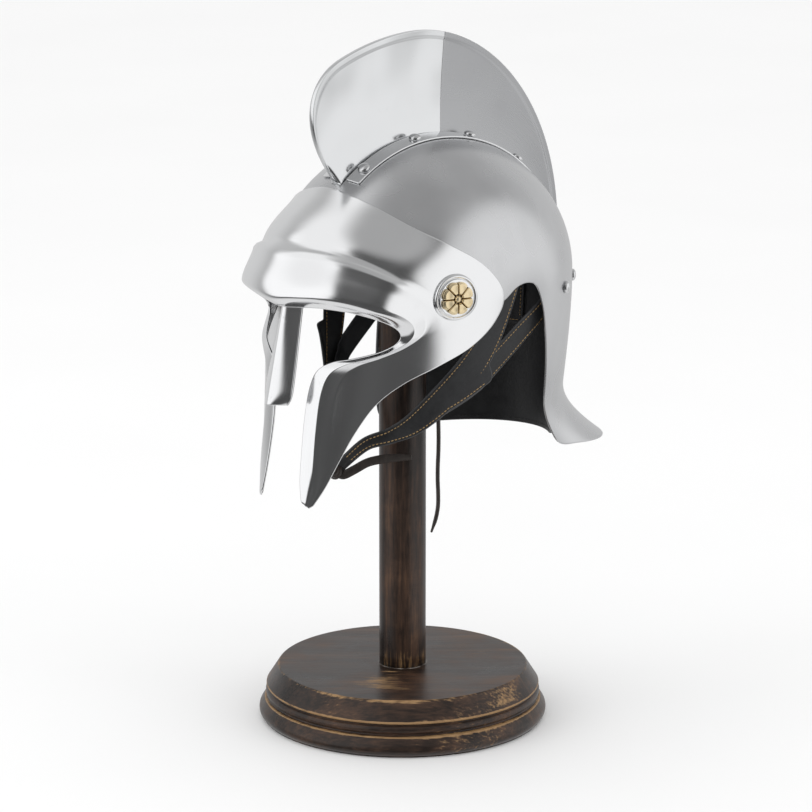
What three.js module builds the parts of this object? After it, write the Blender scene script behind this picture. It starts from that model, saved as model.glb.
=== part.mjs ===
// A crested gladiator helmet of polished steel on its turned wooden display stand.
// Millimetres, +Z up. The helmet faces -Y and its wearer's left side is +X.
// The origin is the middle of the stand's underside, on the table.
import * as THREE from "three";

// Skull of the helmet: one smooth skin that every plate follows at its own offset
const bowlHalfWidth = 100; // middle to the outside over the ear
const bowlFront = 130; // bowl centre to the forehead
const bowlBack = 137; // bowl centre to the back of the head
const bowlRise = 114; // ear line to the crown
const bowlSetback = 18; // bowl centre behind the pole
const earLine = 352; // ear line above the table
const faceDrop = 160; // ear line down to the hem of the neck plate
const jawTaper = 0.28; // share of the width lost at the hem
const chinLead = 22; // how far the chin reaches ahead of the forehead
const napePinch = 5; // how far the neck plate draws in
const napeFlare = 72; // how far its hem sweeps back out
const napeSpread = 50; // how much wider the sweep makes it
const flareStart = 0.56; // share of the drop where the sweep starts

// Sheet and clearances
const bowlWall = 1.8;
const guardWall = 1.8;
const leather = 2.4;
const seatGap = 0.4; // between pieces that rest on each other
const leatherGap = 0.5;
const curtainGap = 1.2; // clearance of a limp piece inside the bowl
const padGap = 1; // between the knob and the bowl that rests on it

// Face guard
const browBulge = 21; // how far the brow stands out over the eyes
const browLip = 10; // how far its lower edge turns back in
const browLipWidth = 8;
const browSlope = 0.3; // share of the bulge lost between the lip and the step
const browStep = 0.3; // share lost at the step
const browFade = 0.4; // share lost above it
const foldWidth = 11; // bevelled margin of the cheek piece
const foldRise = 2.6;

// Nose guard
const nasalLength = 74;
const nasalTuck = 9; // length hidden behind the brow
const nasalTopWidth = 19;
const nasalWidth = 30;
const nasalRidge = 9; // ridge ahead of the edges
const nasalLean = 17; // the tip ahead of the root
const nasalWall = 2.2;
const nasalTip = 0.4; // share of its squared width lost at the tip's rounding

// Crest
const crestHeight = 80;
const crestFoot = 11; // thickness where it stands on the bowl
const crestThinning = 2.4; // how quickly it thins above its foot
const crestEdge = 2.6;
const crestBead = 4.4; // thickness of the rolled rim
const crestBeadWidth = 4;
const crestSeam = 0.4; // share of the length where its two plates meet
const crestSeamGap = 0.4;
const crestRearThinning = 0.78; // rear plate's thickness as a share of the front's
const crestStart = 48; // degrees over the forehead from the ear line
const crestEnd = 171;
const flangeGap = 2.4; // between the crest's foot and each flange
const flangeWidth = 12;
const flangeWall = 1.4;
const flangeInsets = [2.5, 4]; // degrees short of the crest's front and rear ends
const crestRivets = [57, 82, 107, 132, 157]; // degrees over the bowl

// Fittings
const templeAngle = 67; // round from the front
const templeHeight = 0.03; // share of the rise
const bossRadius = 18;
const bossWall = 2;
const rosetteRadius = 12.4;
const rosetteHeight = 3.6;
const petals = 8;
const rivetRadius = 4.8;
const rivetHeight = 3.4;
const napeRivets = [126, 150]; // degrees round from the front
const napeRivetLevel = -0.04;

// Leather
const strapWidth = 25;
const strapEndWidth = 8;
const armWidth = 18;
const curtainDrop = 0.87; // share of the face drop
const curtainEnds = [134, 107]; // left and right, degrees round from the front
const curtainSwing = [0.3, 11]; // its right end leans forward below a drop, in degrees per drop
const cornerDrop = 0.12; // its rounded lower corners, as a share of the face drop
const cornerSpan = 0.06; // and as a share of its length round the nape
const patchWall = 1.9;
const knotRadius = 7.5;
const tailLength = 62; // strap end left free beyond the knot
const tailWidth = 6.5;
const tailWall = 2;
const laceDiameter = 3.2;
const laceGap = 0.8; // between the lace and the strap that it comes out behind

// Stand
const baseRadius = 114.5;
const baseTopRadius = 99.5;
const baseHeight = 42;
const beadRadius = 109.5;
const poleRadius = 18.5;
const knobRadius = 44;
const knobHeight = 20;
const knobCurve = 86; // radius of its round top
const knobEdge = 2.5; // rounding of its lower edge

// Share of the way from low to high, eased at both ends
function ease(value, low, high) {
  const share = THREE.MathUtils.clamp((value - low) / (high - low), 0, 1);
  return share * share * (3 - 2 * share);
}

const sine = (degrees) => Math.sin(THREE.MathUtils.degToRad(degrees));
const cosine = (degrees) => Math.cos(THREE.MathUtils.degToRad(degrees));

// Point of the skull's skin at a bearing round from the front, in degrees, and a level:
// 1 at the crown, 0 at the ear line and -1 at the hem. flare 0 leaves the hem unswept.
function skin(bearing, level, flare = 1) {
  const drop = Math.max(-level, 0);
  const rise = 90 * Math.max(level, 0);
  const sweep = flare * 2 * ease(drop, flareStart, 2 - flareStart);
  const behind = Math.pow(Math.min(cosine(bearing), 0), 2);
  const width = bowlHalfWidth * (1 - jawTaper * drop * drop) + napeSpread * sweep * behind;
  const front = bowlFront + chinLead * drop * drop;
  const back = bowlBack - napePinch * ease(drop, 0, 1.25 * flareStart) + napeFlare * sweep;
  const reach = cosine(bearing) > 0 ? front : back;
  return new THREE.Vector3(
    width * sine(bearing) * cosine(rise),
    bowlSetback - reach * cosine(bearing) * cosine(rise),
    earLine - faceDrop * drop + bowlRise * sine(rise),
  );
}

// Outward normal of the skin, from small steps both ways
function skinNormal(bearing, level, flare = 1) {
  if (level > 0.995) return new THREE.Vector3(0, 0, 1);
  const step = 0.004;
  const across = skin(bearing + 90 * step, level, flare).sub(skin(bearing - 90 * step, level, flare));
  const up = skin(bearing, level + step, flare).sub(skin(bearing, level - step, flare));
  return across.cross(up).normalize();
}

function offSkin(bearing, level, offset, flare = 1) {
  return skin(bearing, level, flare).addScaledVector(skinNormal(bearing, level, flare), offset);
}

// Buffer geometry with its faces turned outwards
function solid(positions, triangles) {
  const corner = (id) => new THREE.Vector3().fromArray(positions, 3 * id);
  let volume = 0;
  for (let k = 0; k < triangles.length; k += 3) {
    const [a, b, c] = [0, 1, 2].map((n) => corner(triangles[k + n]));
    volume += a.dot(b.cross(c));
  }
  if (volume < 0) triangles.reverse();
  const geometry = new THREE.BufferGeometry();
  geometry.setAttribute("position", new THREE.Float32BufferAttribute(positions, 3));
  geometry.setIndex(triangles);
  geometry.computeVertexNormals();
  return geometry;
}

// Even shares from 0 to 1, and the same round a ring, where 1 is 0 again
const shares = (count) => Array.from({ length: count + 1 }, (_, i) => i / count);
const turns = (count) => shares(count).slice(0, -1);

// Closed sheet: place(s, w, outer) gives its two faces over a grid of shares.
// ring joins its last column to the first, and pole draws its last row to one point.
function sheet(columns, rows, place, { ring = false, pole = false } = {}) {
  const positions = [];
  const triangles = [];
  const columnCount = columns.length;
  const last = rows.length - 1;
  const ids = [false, true].map((outer) =>
    columns.map((s) =>
      rows.map((w, j) => {
        if (pole && j === last && s !== columns[0]) return -1;
        positions.push(...place(s, w, outer).toArray());
        return positions.length / 3 - 1;
      }),
    ),
  );
  const at = (side, i, j) => ids[side][pole && j === last ? 0 : i % columnCount][j];
  const quad = (a, b, c, d) => {
    if (a !== b) triangles.push(a, b, c);
    if (c !== d) triangles.push(a, c, d);
  };
  const spans = ring ? columnCount : columnCount - 1;
  for (let i = 0; i < spans; i++) {
    for (let j = 0; j < last; j++) {
      quad(at(1, i, j), at(1, i + 1, j), at(1, i + 1, j + 1), at(1, i, j + 1));
      quad(at(0, i, j), at(0, i, j + 1), at(0, i + 1, j + 1), at(0, i + 1, j));
    }
    quad(at(0, i, 0), at(0, i + 1, 0), at(1, i + 1, 0), at(1, i, 0));
    if (!pole) quad(at(1, i, last), at(1, i + 1, last), at(0, i + 1, last), at(0, i, last));
  }
  if (!ring) {
    for (let j = 0; j < last; j++) {
      quad(at(0, 0, j), at(1, 0, j), at(1, 0, j + 1), at(0, 0, j + 1));
      quad(at(1, spans, j), at(0, spans, j), at(0, spans, j + 1), at(1, spans, j + 1));
    }
  }
  return solid(positions, triangles);
}

// Smooth curve through the rows of a table; share 0 is the first row and 1 the last.
// mirrorStart and mirrorEnd, where given, make the row before the first and after the last.
function along(table, share, mirrorStart, mirrorEnd) {
  const last = table.length - 1;
  const place = Math.min(Math.max(share, 0), 1) * last;
  const k = Math.min(Math.floor(place), last - 1);
  const t = place - k;
  const before = k > 0 ? table[k - 1] : mirrorStart ? mirrorStart(table[1]) : table[0];
  const after = k < last - 1 ? table[k + 2] : mirrorEnd ? mirrorEnd(table[last - 1]) : table[last];
  const [p, q] = [table[k], table[k + 1]];
  return p.map((value, n) => {
    const slope = q[n] - before[n];
    const bend = 2 * before[n] - 5 * value + 4 * q[n] - after[n];
    const twist = 3 * (value - q[n]) + after[n] - before[n];
    return value + 0.5 * t * (slope + t * (bend + t * twist));
  });
}

// Skull bowl

const hem = -0.9; // level of the neck plate's lower edge

// Lower edge of the bowl, front to back on one side, and where its grid lines meet the crown.
// Columns: bearing in degrees, level, bearing at the crown.
const bowlEdge = [
  [0, 0.1, 0],
  [12, 0.1, 10],
  [24, 0.1, 21],
  [36, 0.09, 32],
  [48, 0.06, 43],
  [58, 0.01, 53],
  [67, -0.04, 61],
  [75, -0.055, 69],
  [82, -0.045, 76],
  [88, -0.01, 83],
  [93.5, 0.035, 90],
  [99, 0.045, 97],
  [104, 0.02, 104],
  [107.5, -0.06, 111],
  [110.5, -0.2, 118],
  [113.5, -0.37, 125],
  [116, -0.55, 132],
  [118.5, -0.74, 139],
  [120.5, 0.93 * hem, 145],
  [129, 0.96 * hem, 150],
  [140, 0.985 * hem, 156],
  [151, hem, 162],
  [161, hem, 168],
  [170.5, hem, 174],
  [180, hem, 180],
];

// The bowl's grid runs from its lower edge, w 0, to the crown, w 1; s goes once round.
function bowlPlace(s, w, outer) {
  const side = s <= 0.5 ? 1 : -1;
  const [bearing, level, crownBearing] = along(
    bowlEdge,
    side > 0 ? 2 * s : 2 - 2 * s,
    ([b, l, c]) => [-b, l, -c],
    ([b, l, c]) => [360 - b, l, 360 - c],
  );
  const height = Math.pow(w, 1.15);
  const b = THREE.MathUtils.lerp(bearing, crownBearing, height);
  const l = THREE.MathUtils.lerp(level, 1, w);
  return offSkin(side * b, l, outer ? 0 : -bowlWall);
}

// Levels of the cross lines that the neck plate and the curtain share, so that they nest
const hemLevels = [1, 0.88, 0.75, 0.61, 0.46, 0.31, 0.15, 0].map((share) => share * hem);

function skullBowl() {
  const domeLevels = [0.08, 0.26, 0.44, 0.62, 0.81, 1];
  const rows = [...hemLevels, ...domeLevels].map((level) => (level - hem) / (1 - hem));
  return sheet(turns(58), rows, bowlPlace, { ring: true, pole: true });
}

// Face guard: one plate from chin tip to chin tip, over the temples and the brow

// Half of the plate from the middle of the brow to the chin tip, as two rails.
// Columns: bearing and level of the opening's edge, bearing and level of the outer edge,
// and the share of the brow's bulge.
const guardRails = [
  [0, -0.01, 0, 0.5, 1],
  [9, 0, 12, 0.49, 1],
  [18, 0.005, 24, 0.46, 0.97],
  [28, -0.005, 37, 0.41, 0.88],
  [38, -0.04, 52, 0.33, 0.66],
  [45, -0.085, 66, 0.25, 0.36],
  [47.5, -0.13, 79, 0.15, 0.12],
  [45.5, -0.175, 86.5, 0.02, 0.02],
  [39, -0.215, 83, -0.1, 0],
  [30, -0.245, 74, -0.205, 0],
  [21, -0.27, 62, -0.285, 0],
  [14.5, -0.32, 50, -0.36, 0],
  [11.5, -0.42, 40.5, -0.46, 0],
  [11, -0.56, 34, -0.6, 0],
  [12, -0.7, 29.8, -0.74, 0],
  [14, -0.84, 26.3, -0.87, 0],
  [17.5, -0.95, 22.5, -0.965, 0],
];
const guardTip = 0.985; // share of the length where the rails start to close on the chin tip
const guardTipEdge = 0.55; // share of the width left at the tip
const guardStepAt = [0.4, 0.47]; // shares of the plate's width between which the brow steps down

function guardRail(s) {
  const side = Math.sign(s - 0.5) || 1;
  const share = Math.abs(2 * s - 1);
  const row = along(guardRails, share, ([a, b, c, d, e]) => [-a, b, -c, d, e]);
  const closing = (1 - guardTipEdge) * ease(share, guardTip, 2 - guardTip);
  const width = row[2] - row[0];
  row[0] += width * closing;
  row[2] -= width * closing;
  return { side, row };
}

// Offset of the plate's outer face: a stepped brow with a lip turned in under it, and a
// bevelled margin along the opening of each cheek piece.
function guardOffset(bulgeShare, w, reach) {
  const [stepStart, stepEnd] = guardStepAt;
  const slope = browSlope * ease(w, 0.2 * stepStart, stepStart);
  const step = browStep * ease(w, stepStart, stepEnd);
  const tier = 1 - slope - step - browFade * ease(w, stepEnd, 1);
  const lip = 2 * browLip * (1 - ease(w * reach, -browLipWidth, browLipWidth));
  const fold = Math.max(1 - Math.abs(w * reach - foldWidth) / foldWidth, 0);
  const margin = foldRise * fold * (1 - ease(w, 0.3, 0.9));
  return seatGap + guardWall + bulgeShare * (browBulge * tier - lip) + (1 - bulgeShare) * margin;
}

// Bearing, level and offset of the plate's outer face
function guardAt(s, w) {
  const { side, row } = guardRail(s);
  const [innerBearing, innerLevel, outerBearing, outerLevel, bulgeShare] = row;
  const reach = skin(innerBearing, innerLevel).distanceTo(skin(outerBearing, outerLevel));
  return {
    bearing: side * THREE.MathUtils.lerp(innerBearing, outerBearing, w),
    level: THREE.MathUtils.lerp(innerLevel, outerLevel, w),
    offset: guardOffset(Math.max(bulgeShare, 0), w, reach),
  };
}

function guardPlace(s, w, outer) {
  const { bearing, level, offset } = guardAt(s, w);
  return offSkin(bearing, level, outer ? offset : offset - guardWall);
}

// Offset of the plate's outer face at a bearing and level, found by Newton's steps from the
// temple's place on the plate
function guardOffsetAt(bearing, level) {
  const step = 1e-4;
  let [s, w] = [0.66, 0.7];
  for (let turn = 0; turn < 8; turn++) {
    const here = guardAt(s, w);
    const [onward, across] = [guardAt(s + step, w), guardAt(s, w + step)];
    const [a, b] = [(onward.bearing - here.bearing) / step, (across.bearing - here.bearing) / step];
    const [c, d] = [(onward.level - here.level) / step, (across.level - here.level) / step];
    const [miss, short] = [bearing - here.bearing, level - here.level];
    const area = a * d - b * c;
    s += (d * miss - b * short) / area;
    w += (a * short - c * miss) / area;
  }
  return guardAt(s, w).offset;
}

function faceGuard() {
  const rows = [0, 0.08, 0.18, 0.29, ...guardStepAt, 0.64, 0.82, 1];
  return sheet(shares(62), rows, guardPlace);
}

// Nose guard: a ridged bar that hangs from behind the brow's lip, one seat's gap inside it
function nasalPlace(s, w, outer) {
  const root = offSkin(0, guardRails[0][1], browBulge - browLip);
  const across = 2 * s - 1;
  const fall = w * (nasalLength + nasalTuck) - nasalTuck;
  const down = Math.max(fall, 0) / nasalLength;
  const rounding = Math.sqrt(1 - nasalTip * Math.pow(2 * ease(down, 0.8, 1.2), 2));
  const width = THREE.MathUtils.lerp(nasalTopWidth, nasalWidth, ease(down, -0.3, 1)) * rounding;
  const slopeBack = nasalRidge * Math.pow(Math.abs(across), 1.35);
  return new THREE.Vector3(
    (width / 2) * across,
    root.y - nasalLean * down + slopeBack + (outer ? 0 : nasalWall),
    root.z - fall,
  );
}

function nasalGuard() {
  const rows = [0, 0.12, 0.3, 0.5, 0.7, 0.84, 0.92, 0.97, 1];
  return sheet(shares(8), rows, nasalPlace);
}

// Crest: a tall plate that stands along the middle of the bowl

// Point over the bowl near its middle plane: swing is 0 at the forehead's ear line, 90 at
// the crown and 180 behind, and x is the distance from the middle plane.
function overBowl(swing, x, offset) {
  const lean = THREE.MathUtils.radToDeg(Math.asin(x / bowlHalfWidth));
  const reach = swing < 90 ? bowlFront : bowlBack;
  const point = new THREE.Vector3(
    x,
    bowlSetback - reach * cosine(lean) * cosine(swing),
    earLine + bowlRise * cosine(lean) * sine(swing),
  );
  const normal = new THREE.Vector3(
    x / (bowlHalfWidth * bowlHalfWidth),
    (point.y - bowlSetback) / (reach * reach),
    (point.z - earLine) / (bowlRise * bowlRise),
  );
  return point.addScaledVector(normal.normalize(), offset);
}

const crestNose = 0.15; // share of the length in the rounded front
const crestNosePower = 2.3; // fullness of its rounding
const crestHeel = 0.05; // share of the length in the rounded rear end
const crestHeelDepth = 0.75; // and of the height there
const crestTail = 0.2; // share of the height left at the rear
const crestFall = [0.32, 1.06]; // shares of the length between which it falls to that

// Height of the crest over the bowl, s from its front foot to its rear end
function crestRise(s) {
  const ahead = Math.pow(1 - Math.min(s / crestNose, 1), crestNosePower);
  const nose = Math.pow(1 - ahead, 1 / crestNosePower);
  const behind = Math.pow(1 - Math.min((1 - s) / crestHeel, 1), 2);
  const heel = 1 - crestHeelDepth * (1 - Math.sqrt(1 - behind));
  const fall = 1 - (1 - crestTail) * ease(s, ...crestFall);
  return crestHeight * Math.min(nose, heel) * fall;
}

// One plate of the crest from one share of the length to another, thinned by a factor
function crestPlate(start, end, thinning, count) {
  const rows = [0, 0.2, 0.55, 0.9, 0.95, 1];
  return sheet(shares(count), rows, (share, w, outer) => {
    const s = THREE.MathUtils.lerp(start, end, share);
    const height = crestRise(s);
    const swing = THREE.MathUtils.lerp(crestStart, crestEnd, s);
    const body = crestEdge + (crestFoot - crestEdge) * Math.pow(1 - w, crestThinning);
    const fromRim = (1 - w) * height;
    const rim = (crestBead - crestEdge) * (1 - ease(fromRim, crestBeadWidth, 1.6 * crestBeadWidth));
    const foot = overBowl(swing, 0, seatGap);
    const tip = overBowl(swing, 0, seatGap + Math.max(height, 1));
    return foot.lerp(tip, w).setX((outer ? 0.5 : -0.5) * thinning * (body + rim));
  });
}

// Half the seam between its plates, as a share of its length
const seamShare = crestSeamGap / 2 / (bowlRise * THREE.MathUtils.degToRad(crestEnd - crestStart));

const flangeInner = crestFoot / 2 + flangeGap;

function crestFlange(side) {
  const [first, final] = [crestStart + flangeInsets[0], crestEnd - flangeInsets[1]];
  return sheet(shares(24), [0, 1], (s, w, outer) =>
    overBowl(
      THREE.MathUtils.lerp(first, final, s),
      side * (flangeInner + w * flangeWidth),
      outer ? seatGap + flangeWall : seatGap,
    ),
  );
}

// Temple fittings

// Point on the face guard near a bearing and level, moved right and up along the plate by
// distances in millimetres, and out from the plate by offset.
function onTemple(side, right, up, offset) {
  const here = skin(templeAngle, templeHeight);
  const degree = skin(templeAngle + 1, templeHeight).distanceTo(here);
  const bearing = templeAngle + right / degree;
  const level = templeHeight + up / (bowlRise * (Math.PI / 2));
  return offSkin(side * bearing, level, guardOffsetAt(bearing, level) + offset);
}

// Round disc that follows the plate: rings of shares of its radius, radiusAt for each angle
function disc(side, segments, rings, radiusAt, heightAt, lift) {
  return sheet(
    turns(segments),
    rings,
    (s, w, outer) => {
      const angle = 360 * s;
      const radius = radiusAt(angle) * (1 - w);
      const height = outer ? heightAt(angle, 1 - w) : 0;
      return onTemple(side, radius * cosine(angle), radius * sine(angle), lift + height);
    },
    { ring: true, pole: true },
  );
}

function templeBoss(side) {
  const crown = (angle, share) => bossWall * (1 - 0.6 * ease(share, 0.75, 1));
  return disc(side, 24, [0, 0.15, 1], () => bossRadius, crown, seatGap);
}

function rosette(side) {
  const petalShare = (angle) => Math.abs(sine((angle * petals) / 2));
  const outline = (angle) => rosetteRadius * (0.88 + 0.12 * Math.sqrt(petalShare(angle)));
  const relief = (angle, share) => {
    const middle = share < 0.24 ? 1 : 0;
    const leaf = (0.45 + 0.35 * petalShare(angle)) * (1 - 0.5 * ease(share, 0.7, 1));
    return rosetteHeight * Math.max(middle, leaf);
  };
  return disc(side, petals * 4, [0, 0.2, 0.76, 1], outline, relief, 2 * seatGap + bossWall);
}

// Domed rivets

function rivet(foot, normal) {
  const profile = [
    [0, 0],
    [1, 0],
    [1, 0.25],
    [0.7, 0.8],
    [0, 1],
  ].map(([r, z]) => new THREE.Vector2(r * rivetRadius, z * rivetHeight));
  const geometry = new THREE.LatheGeometry(profile, 8);
  const turn = new THREE.Quaternion().setFromUnitVectors(new THREE.Vector3(0, 1, 0), normal);
  return geometry.applyQuaternion(turn).translate(...foot.addScaledVector(normal, seatGap).toArray());
}

// Straps and curtain

// Middle of a strap at a share of its run, with the directions across it and out of its face.
// Its table holds a point, a width, and the bearing and tilt that the face looks along.
function strapFrame(table, s) {
  const middle = (share) => new THREE.Vector3(...along(table, share).slice(0, 3));
  const [, , , width, bearing, tilt] = along(table, s);
  const run = middle(s + 0.01).sub(middle(s - 0.01)).normalize();
  const level = new THREE.Vector3(sine(bearing), -cosine(bearing), 0);
  const face = level.multiplyScalar(cosine(tilt)).setZ(sine(tilt));
  const across = run.clone().cross(face).normalize();
  face.copy(across).cross(run).normalize();
  return { middle: middle(s), width, across, face };
}

function band(table, wall, count) {
  return sheet(shares(count), [0, 0.5, 1], (s, w, outer) => {
    const { middle, width, across, face } = strapFrame(table, s);
    const out = (outer ? 0.5 : -0.5) * wall;
    return middle.addScaledVector(across, (w - 0.5) * width).addScaledVector(face, out);
  });
}

// Places on the inside of the bowl where the straps are riveted, under one layer or two
const inside = (layer) => -(bowlWall + curtainGap + leather / 2 + layer * (leather + curtainGap));
const anchor = (bearing, level, layer) => offSkin(bearing, level, inside(layer)).toArray();

const chinForward = 0.55; // chin knot ahead of the pole, as a share of the front reach
const chinDrop = 0.875; // and below the ear line, as a share of the drop
const knotHold = 0.93; // strap's end from the knot's middle, as a share of the knot's radius

const knotCentre = new THREE.Vector3(0, -chinForward * bowlFront, earLine - chinDrop * faceDrop);

// Middle line of a chin strap from inside the ear to the chin knot, on the left side.
// Columns: x as a share of the bowl's half width, y as a share of its front reach, z as a
// share of the drop below the ear line, width as a share of the strap's, bearing, tilt.
const strapRun = [
  [0.88, 0.064, -0.19, 1, 86, 0],
  [0.79, -0.02, -0.345, 1.02, 80, 0],
  [0.65, -0.14, -0.497, 0.92, 72, 0],
  [0.49, -0.265, -0.627, 0.7, 62, 0],
  [0.34, -0.345, -0.69, 0.5, 54, -2],
  [0.2, -0.45, -0.735, 0.4, 48, -4],
];

function strapTable() {
  const free = strapRun.map(([x, y, z, width, bearing, tilt]) => [
    x * bowlHalfWidth,
    y * bowlFront,
    earLine + z * faceDrop,
    width * strapWidth,
    bearing,
    tilt,
  ]);
  const last = free[free.length - 1];
  const pull = new THREE.Vector3(...last).sub(knotCentre).normalize();
  const end = knotCentre.clone().addScaledVector(pull, knotHold * knotRadius);
  return [
    [...anchor(95, 0.15, 0), armWidth, 93, 16],
    [...anchor(91.5, 0.03, 0), armWidth, 91, 4],
    ...free,
    [...end.toArray(), strapEndWidth, 46, -4],
  ];
}

// Rear arm of the strap, from behind the ear arch to where it lies under the strap.
// Columns: share of the strap's run, depth in layers, shift across as a share of the strap's
// width, and width as a share of the arm's.
const armLap = [
  [0.38, 1.5, -0.64, 1],
  [0.43, 1.1, -0.49, 0.96],
  [0.48, 1.1, -0.36, 0.9],
  [0.525, 1.1, -0.25, 0.82],
];

function armTable() {
  const ends = armLap.map(([s, layers, shift, share]) => {
    const { middle, width, across, face } = strapFrame(strapTable(), s);
    middle.addScaledVector(face, -layers * (leather + leatherGap));
    middle.addScaledVector(across, shift * width);
    const bearing = THREE.MathUtils.radToDeg(Math.atan2(face.x, -face.y));
    const tilt = THREE.MathUtils.radToDeg(Math.asin(face.z));
    return [...middle.toArray(), share * armWidth, bearing, tilt];
  });
  return [
    [...anchor(140, -0.04, 1), armWidth, 137, 0],
    [...anchor(131, -0.02, 1), armWidth, 127, 0],
    [...anchor(122, 0.02, 1), armWidth, 118, 0],
    [...anchor(115.5, -0.1, 1), armWidth, 110, 0],
    [0.81 * bowlHalfWidth, 0.36 * bowlFront, earLine - 0.23 * faceDrop, armWidth, 98, 0],
    ...ends,
  ];
}

// A strap's table on the left side, or mirrored to the right
function onSide(table, side) {
  return table.map(([x, y, z, width, bearing, tilt]) => [side * x, y, z, width, side * bearing, tilt]);
}

// Leather curtain inside the neck plate, hanging straight where the steel sweeps out
function napeCurtain() {
  const [outer, inner] = [inside(0) + leather / 2, inside(0) - leather / 2];
  const rows = [...hemLevels, 0.02].reverse();
  return sheet(shares(30), rows, (s, w, isOuter) => {
    const fromEnd = Math.min(Math.min(s, 1 - s) / cornerSpan, 1);
    const rounding = cornerDrop * (1 - Math.sqrt(1 - Math.pow(1 - fromEnd, 2)));
    const level = Math.max(w, rounding - curtainDrop);
    const lean = curtainSwing[1] * Math.max(-level - curtainSwing[0], 0);
    const bearing = THREE.MathUtils.lerp(curtainEnds[0], 360 - curtainEnds[1] + lean, s);
    return offSkin(bearing, level, isOuter ? outer : inner, 0);
  });
}

// Small patch sewn inside the curtain, from its upper front corner to its lower rear one
const patchCorners = [
  [-158, -0.12],
  [-172, -0.36],
];

function curtainPatch() {
  const outer = inside(0) - leather / 2 - leatherGap;
  const [[front, top], [rear, bottom]] = patchCorners;
  return sheet(shares(4), [0, 1], (s, w, isOuter) => {
    const bearing = THREE.MathUtils.lerp(front, rear, s);
    const level = THREE.MathUtils.lerp(top, bottom, w);
    return offSkin(bearing, level, isOuter ? outer : outer - patchWall, 0);
  });
}

function chinKnot() {
  const geometry = new THREE.SphereGeometry(knotRadius, 12, 7);
  return geometry.scale(1, 0.85, 0.8).translate(...knotCentre.toArray());
}

// Free end of the strap beyond the knot, as shares of its length from the knot's middle
const tailRun = [
  [0.14, 0.058, -0.066],
  [0.2, 0.15, 0.03],
  [0.33, 0.28, 0.13],
  [0.51, 0.46, 0.18],
  [0.69, 0.66, 0.19],
];

function strapTail() {
  const table = tailRun.map((row, n) => [
    ...new THREE.Vector3(...row).multiplyScalar(tailLength).add(knotCentre).toArray(),
    tailWidth * (n === tailRun.length - 1 ? 0.6 : 1),
    44 + 2 * n,
    -2 * n,
  ]);
  return band(table, tailWall, 12);
}

// Free end of the tie lace. Columns: sideways, back and down, in millimetres from its exit.
const laceRoute = [
  [0, 0, 0],
  [0.2, 0.1, -8],
  [0.3, 0.2, -18],
  [0.1, 0.2, -29],
  [-0.3, 0, -40],
  [-0.2, -0.2, -51],
  [0.5, -0.3, -62],
  [0.6, -0.6, -72],
  [-0.8, -1.6, -82],
  [-4, -3.4, -93.5],
];

// The lace comes out from behind the left strap
const laceLeaves = [0.55, -0.45]; // shares of the strap's run and of its width there

function laceExit() {
  const { middle, width, across, face } = strapFrame(strapTable(), laceLeaves[0]);
  const behind = -(leather + laceDiameter) / 2 - laceGap;
  return middle.addScaledVector(face, behind).addScaledVector(across, laceLeaves[1] * width);
}

function lace() {
  const exit = laceExit();
  const points = laceRoute.map(([x, y, z]) => new THREE.Vector3(x, y, z).add(exit));
  const path = new THREE.CatmullRomCurve3(points);
  const section = new THREE.Shape().absarc(0, 0, laceDiameter / 2, 0, 2 * Math.PI);
  return new THREE.ExtrudeGeometry(section, { steps: 16, extrudePath: path, curveSegments: 4 });
}

// Stand

function lathe(profile, segments) {
  const geometry = new THREE.LatheGeometry(
    profile.map(([r, z]) => new THREE.Vector2(r, z)),
    segments,
  );
  return geometry.rotateX(Math.PI / 2);
}

// Turned outline of the base from its foot up: a rounded foot, a bead and a hollow above it.
// Columns: radius, 0 at the first named radius and 1 at the second, and height as a share.
const footOutline = [
  [0.8, 0],
  [1, 0.06],
  [0.76, 0.22],
  [-0.28, 0.38],
  [-0.52, 0.43],
];
const beadOutline = [
  [0.94, 0.5],
  [1, 0.57],
  [0.94, 0.64],
  [0.76, 0.68],
  [0.34, 0.8],
  [0.06, 0.95],
  [-0.08, 1],
];

function standBase() {
  const turned = (table, from, to) =>
    table.map(([share, height]) => [THREE.MathUtils.lerp(from, to, share), height * baseHeight]);
  const foot = turned(footOutline, beadRadius, baseRadius);
  const upper = turned(beadOutline, baseTopRadius, beadRadius);
  return lathe([[0, 0], ...foot, ...upper, [0, baseHeight]], 36);
}

// Drop of the knob's round top below its middle, at a distance from the pole's axis
const knobDrop = (r) => knobCurve - Math.sqrt(knobCurve * knobCurve - r * r);

// Highest that the knob's top can stand under the bowl with the seat's gap
function knobTop() {
  let top = Infinity;
  for (let angle = 0; angle < 360; angle += 10) {
    for (let r = 0; r <= knobRadius; r += knobRadius / 16) {
      const x = (r * sine(angle)) / (bowlHalfWidth - bowlWall - padGap);
      const y = r * cosine(angle) - bowlSetback;
      const reach = (y < 0 ? bowlFront : bowlBack) - bowlWall - padGap;
      const rise = Math.sqrt(1 - x * x - (y / reach) ** 2);
      top = Math.min(top, earLine + (bowlRise - bowlWall - padGap) * rise + knobDrop(r));
    }
  }
  return top;
}

function standKnob() {
  const top = knobTop();
  const rings = shares(5).map((share) => knobRadius * (1 - share));
  return lathe(
    [
      [0, top - knobHeight],
      [knobRadius - knobEdge, top - knobHeight],
      [knobRadius, top - knobHeight + knobEdge],
      ...rings.map((r) => [r, top - knobDrop(r)]),
    ],
    24,
  );
}

function standPole() {
  const top = knobTop() - knobHeight - seatGap;
  return lathe(
    [
      [0, baseHeight + seatGap],
      [poleRadius, baseHeight + seatGap],
      [poleRadius, top],
      [0, top],
    ],
    28,
  );
}

// Finishes

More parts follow.
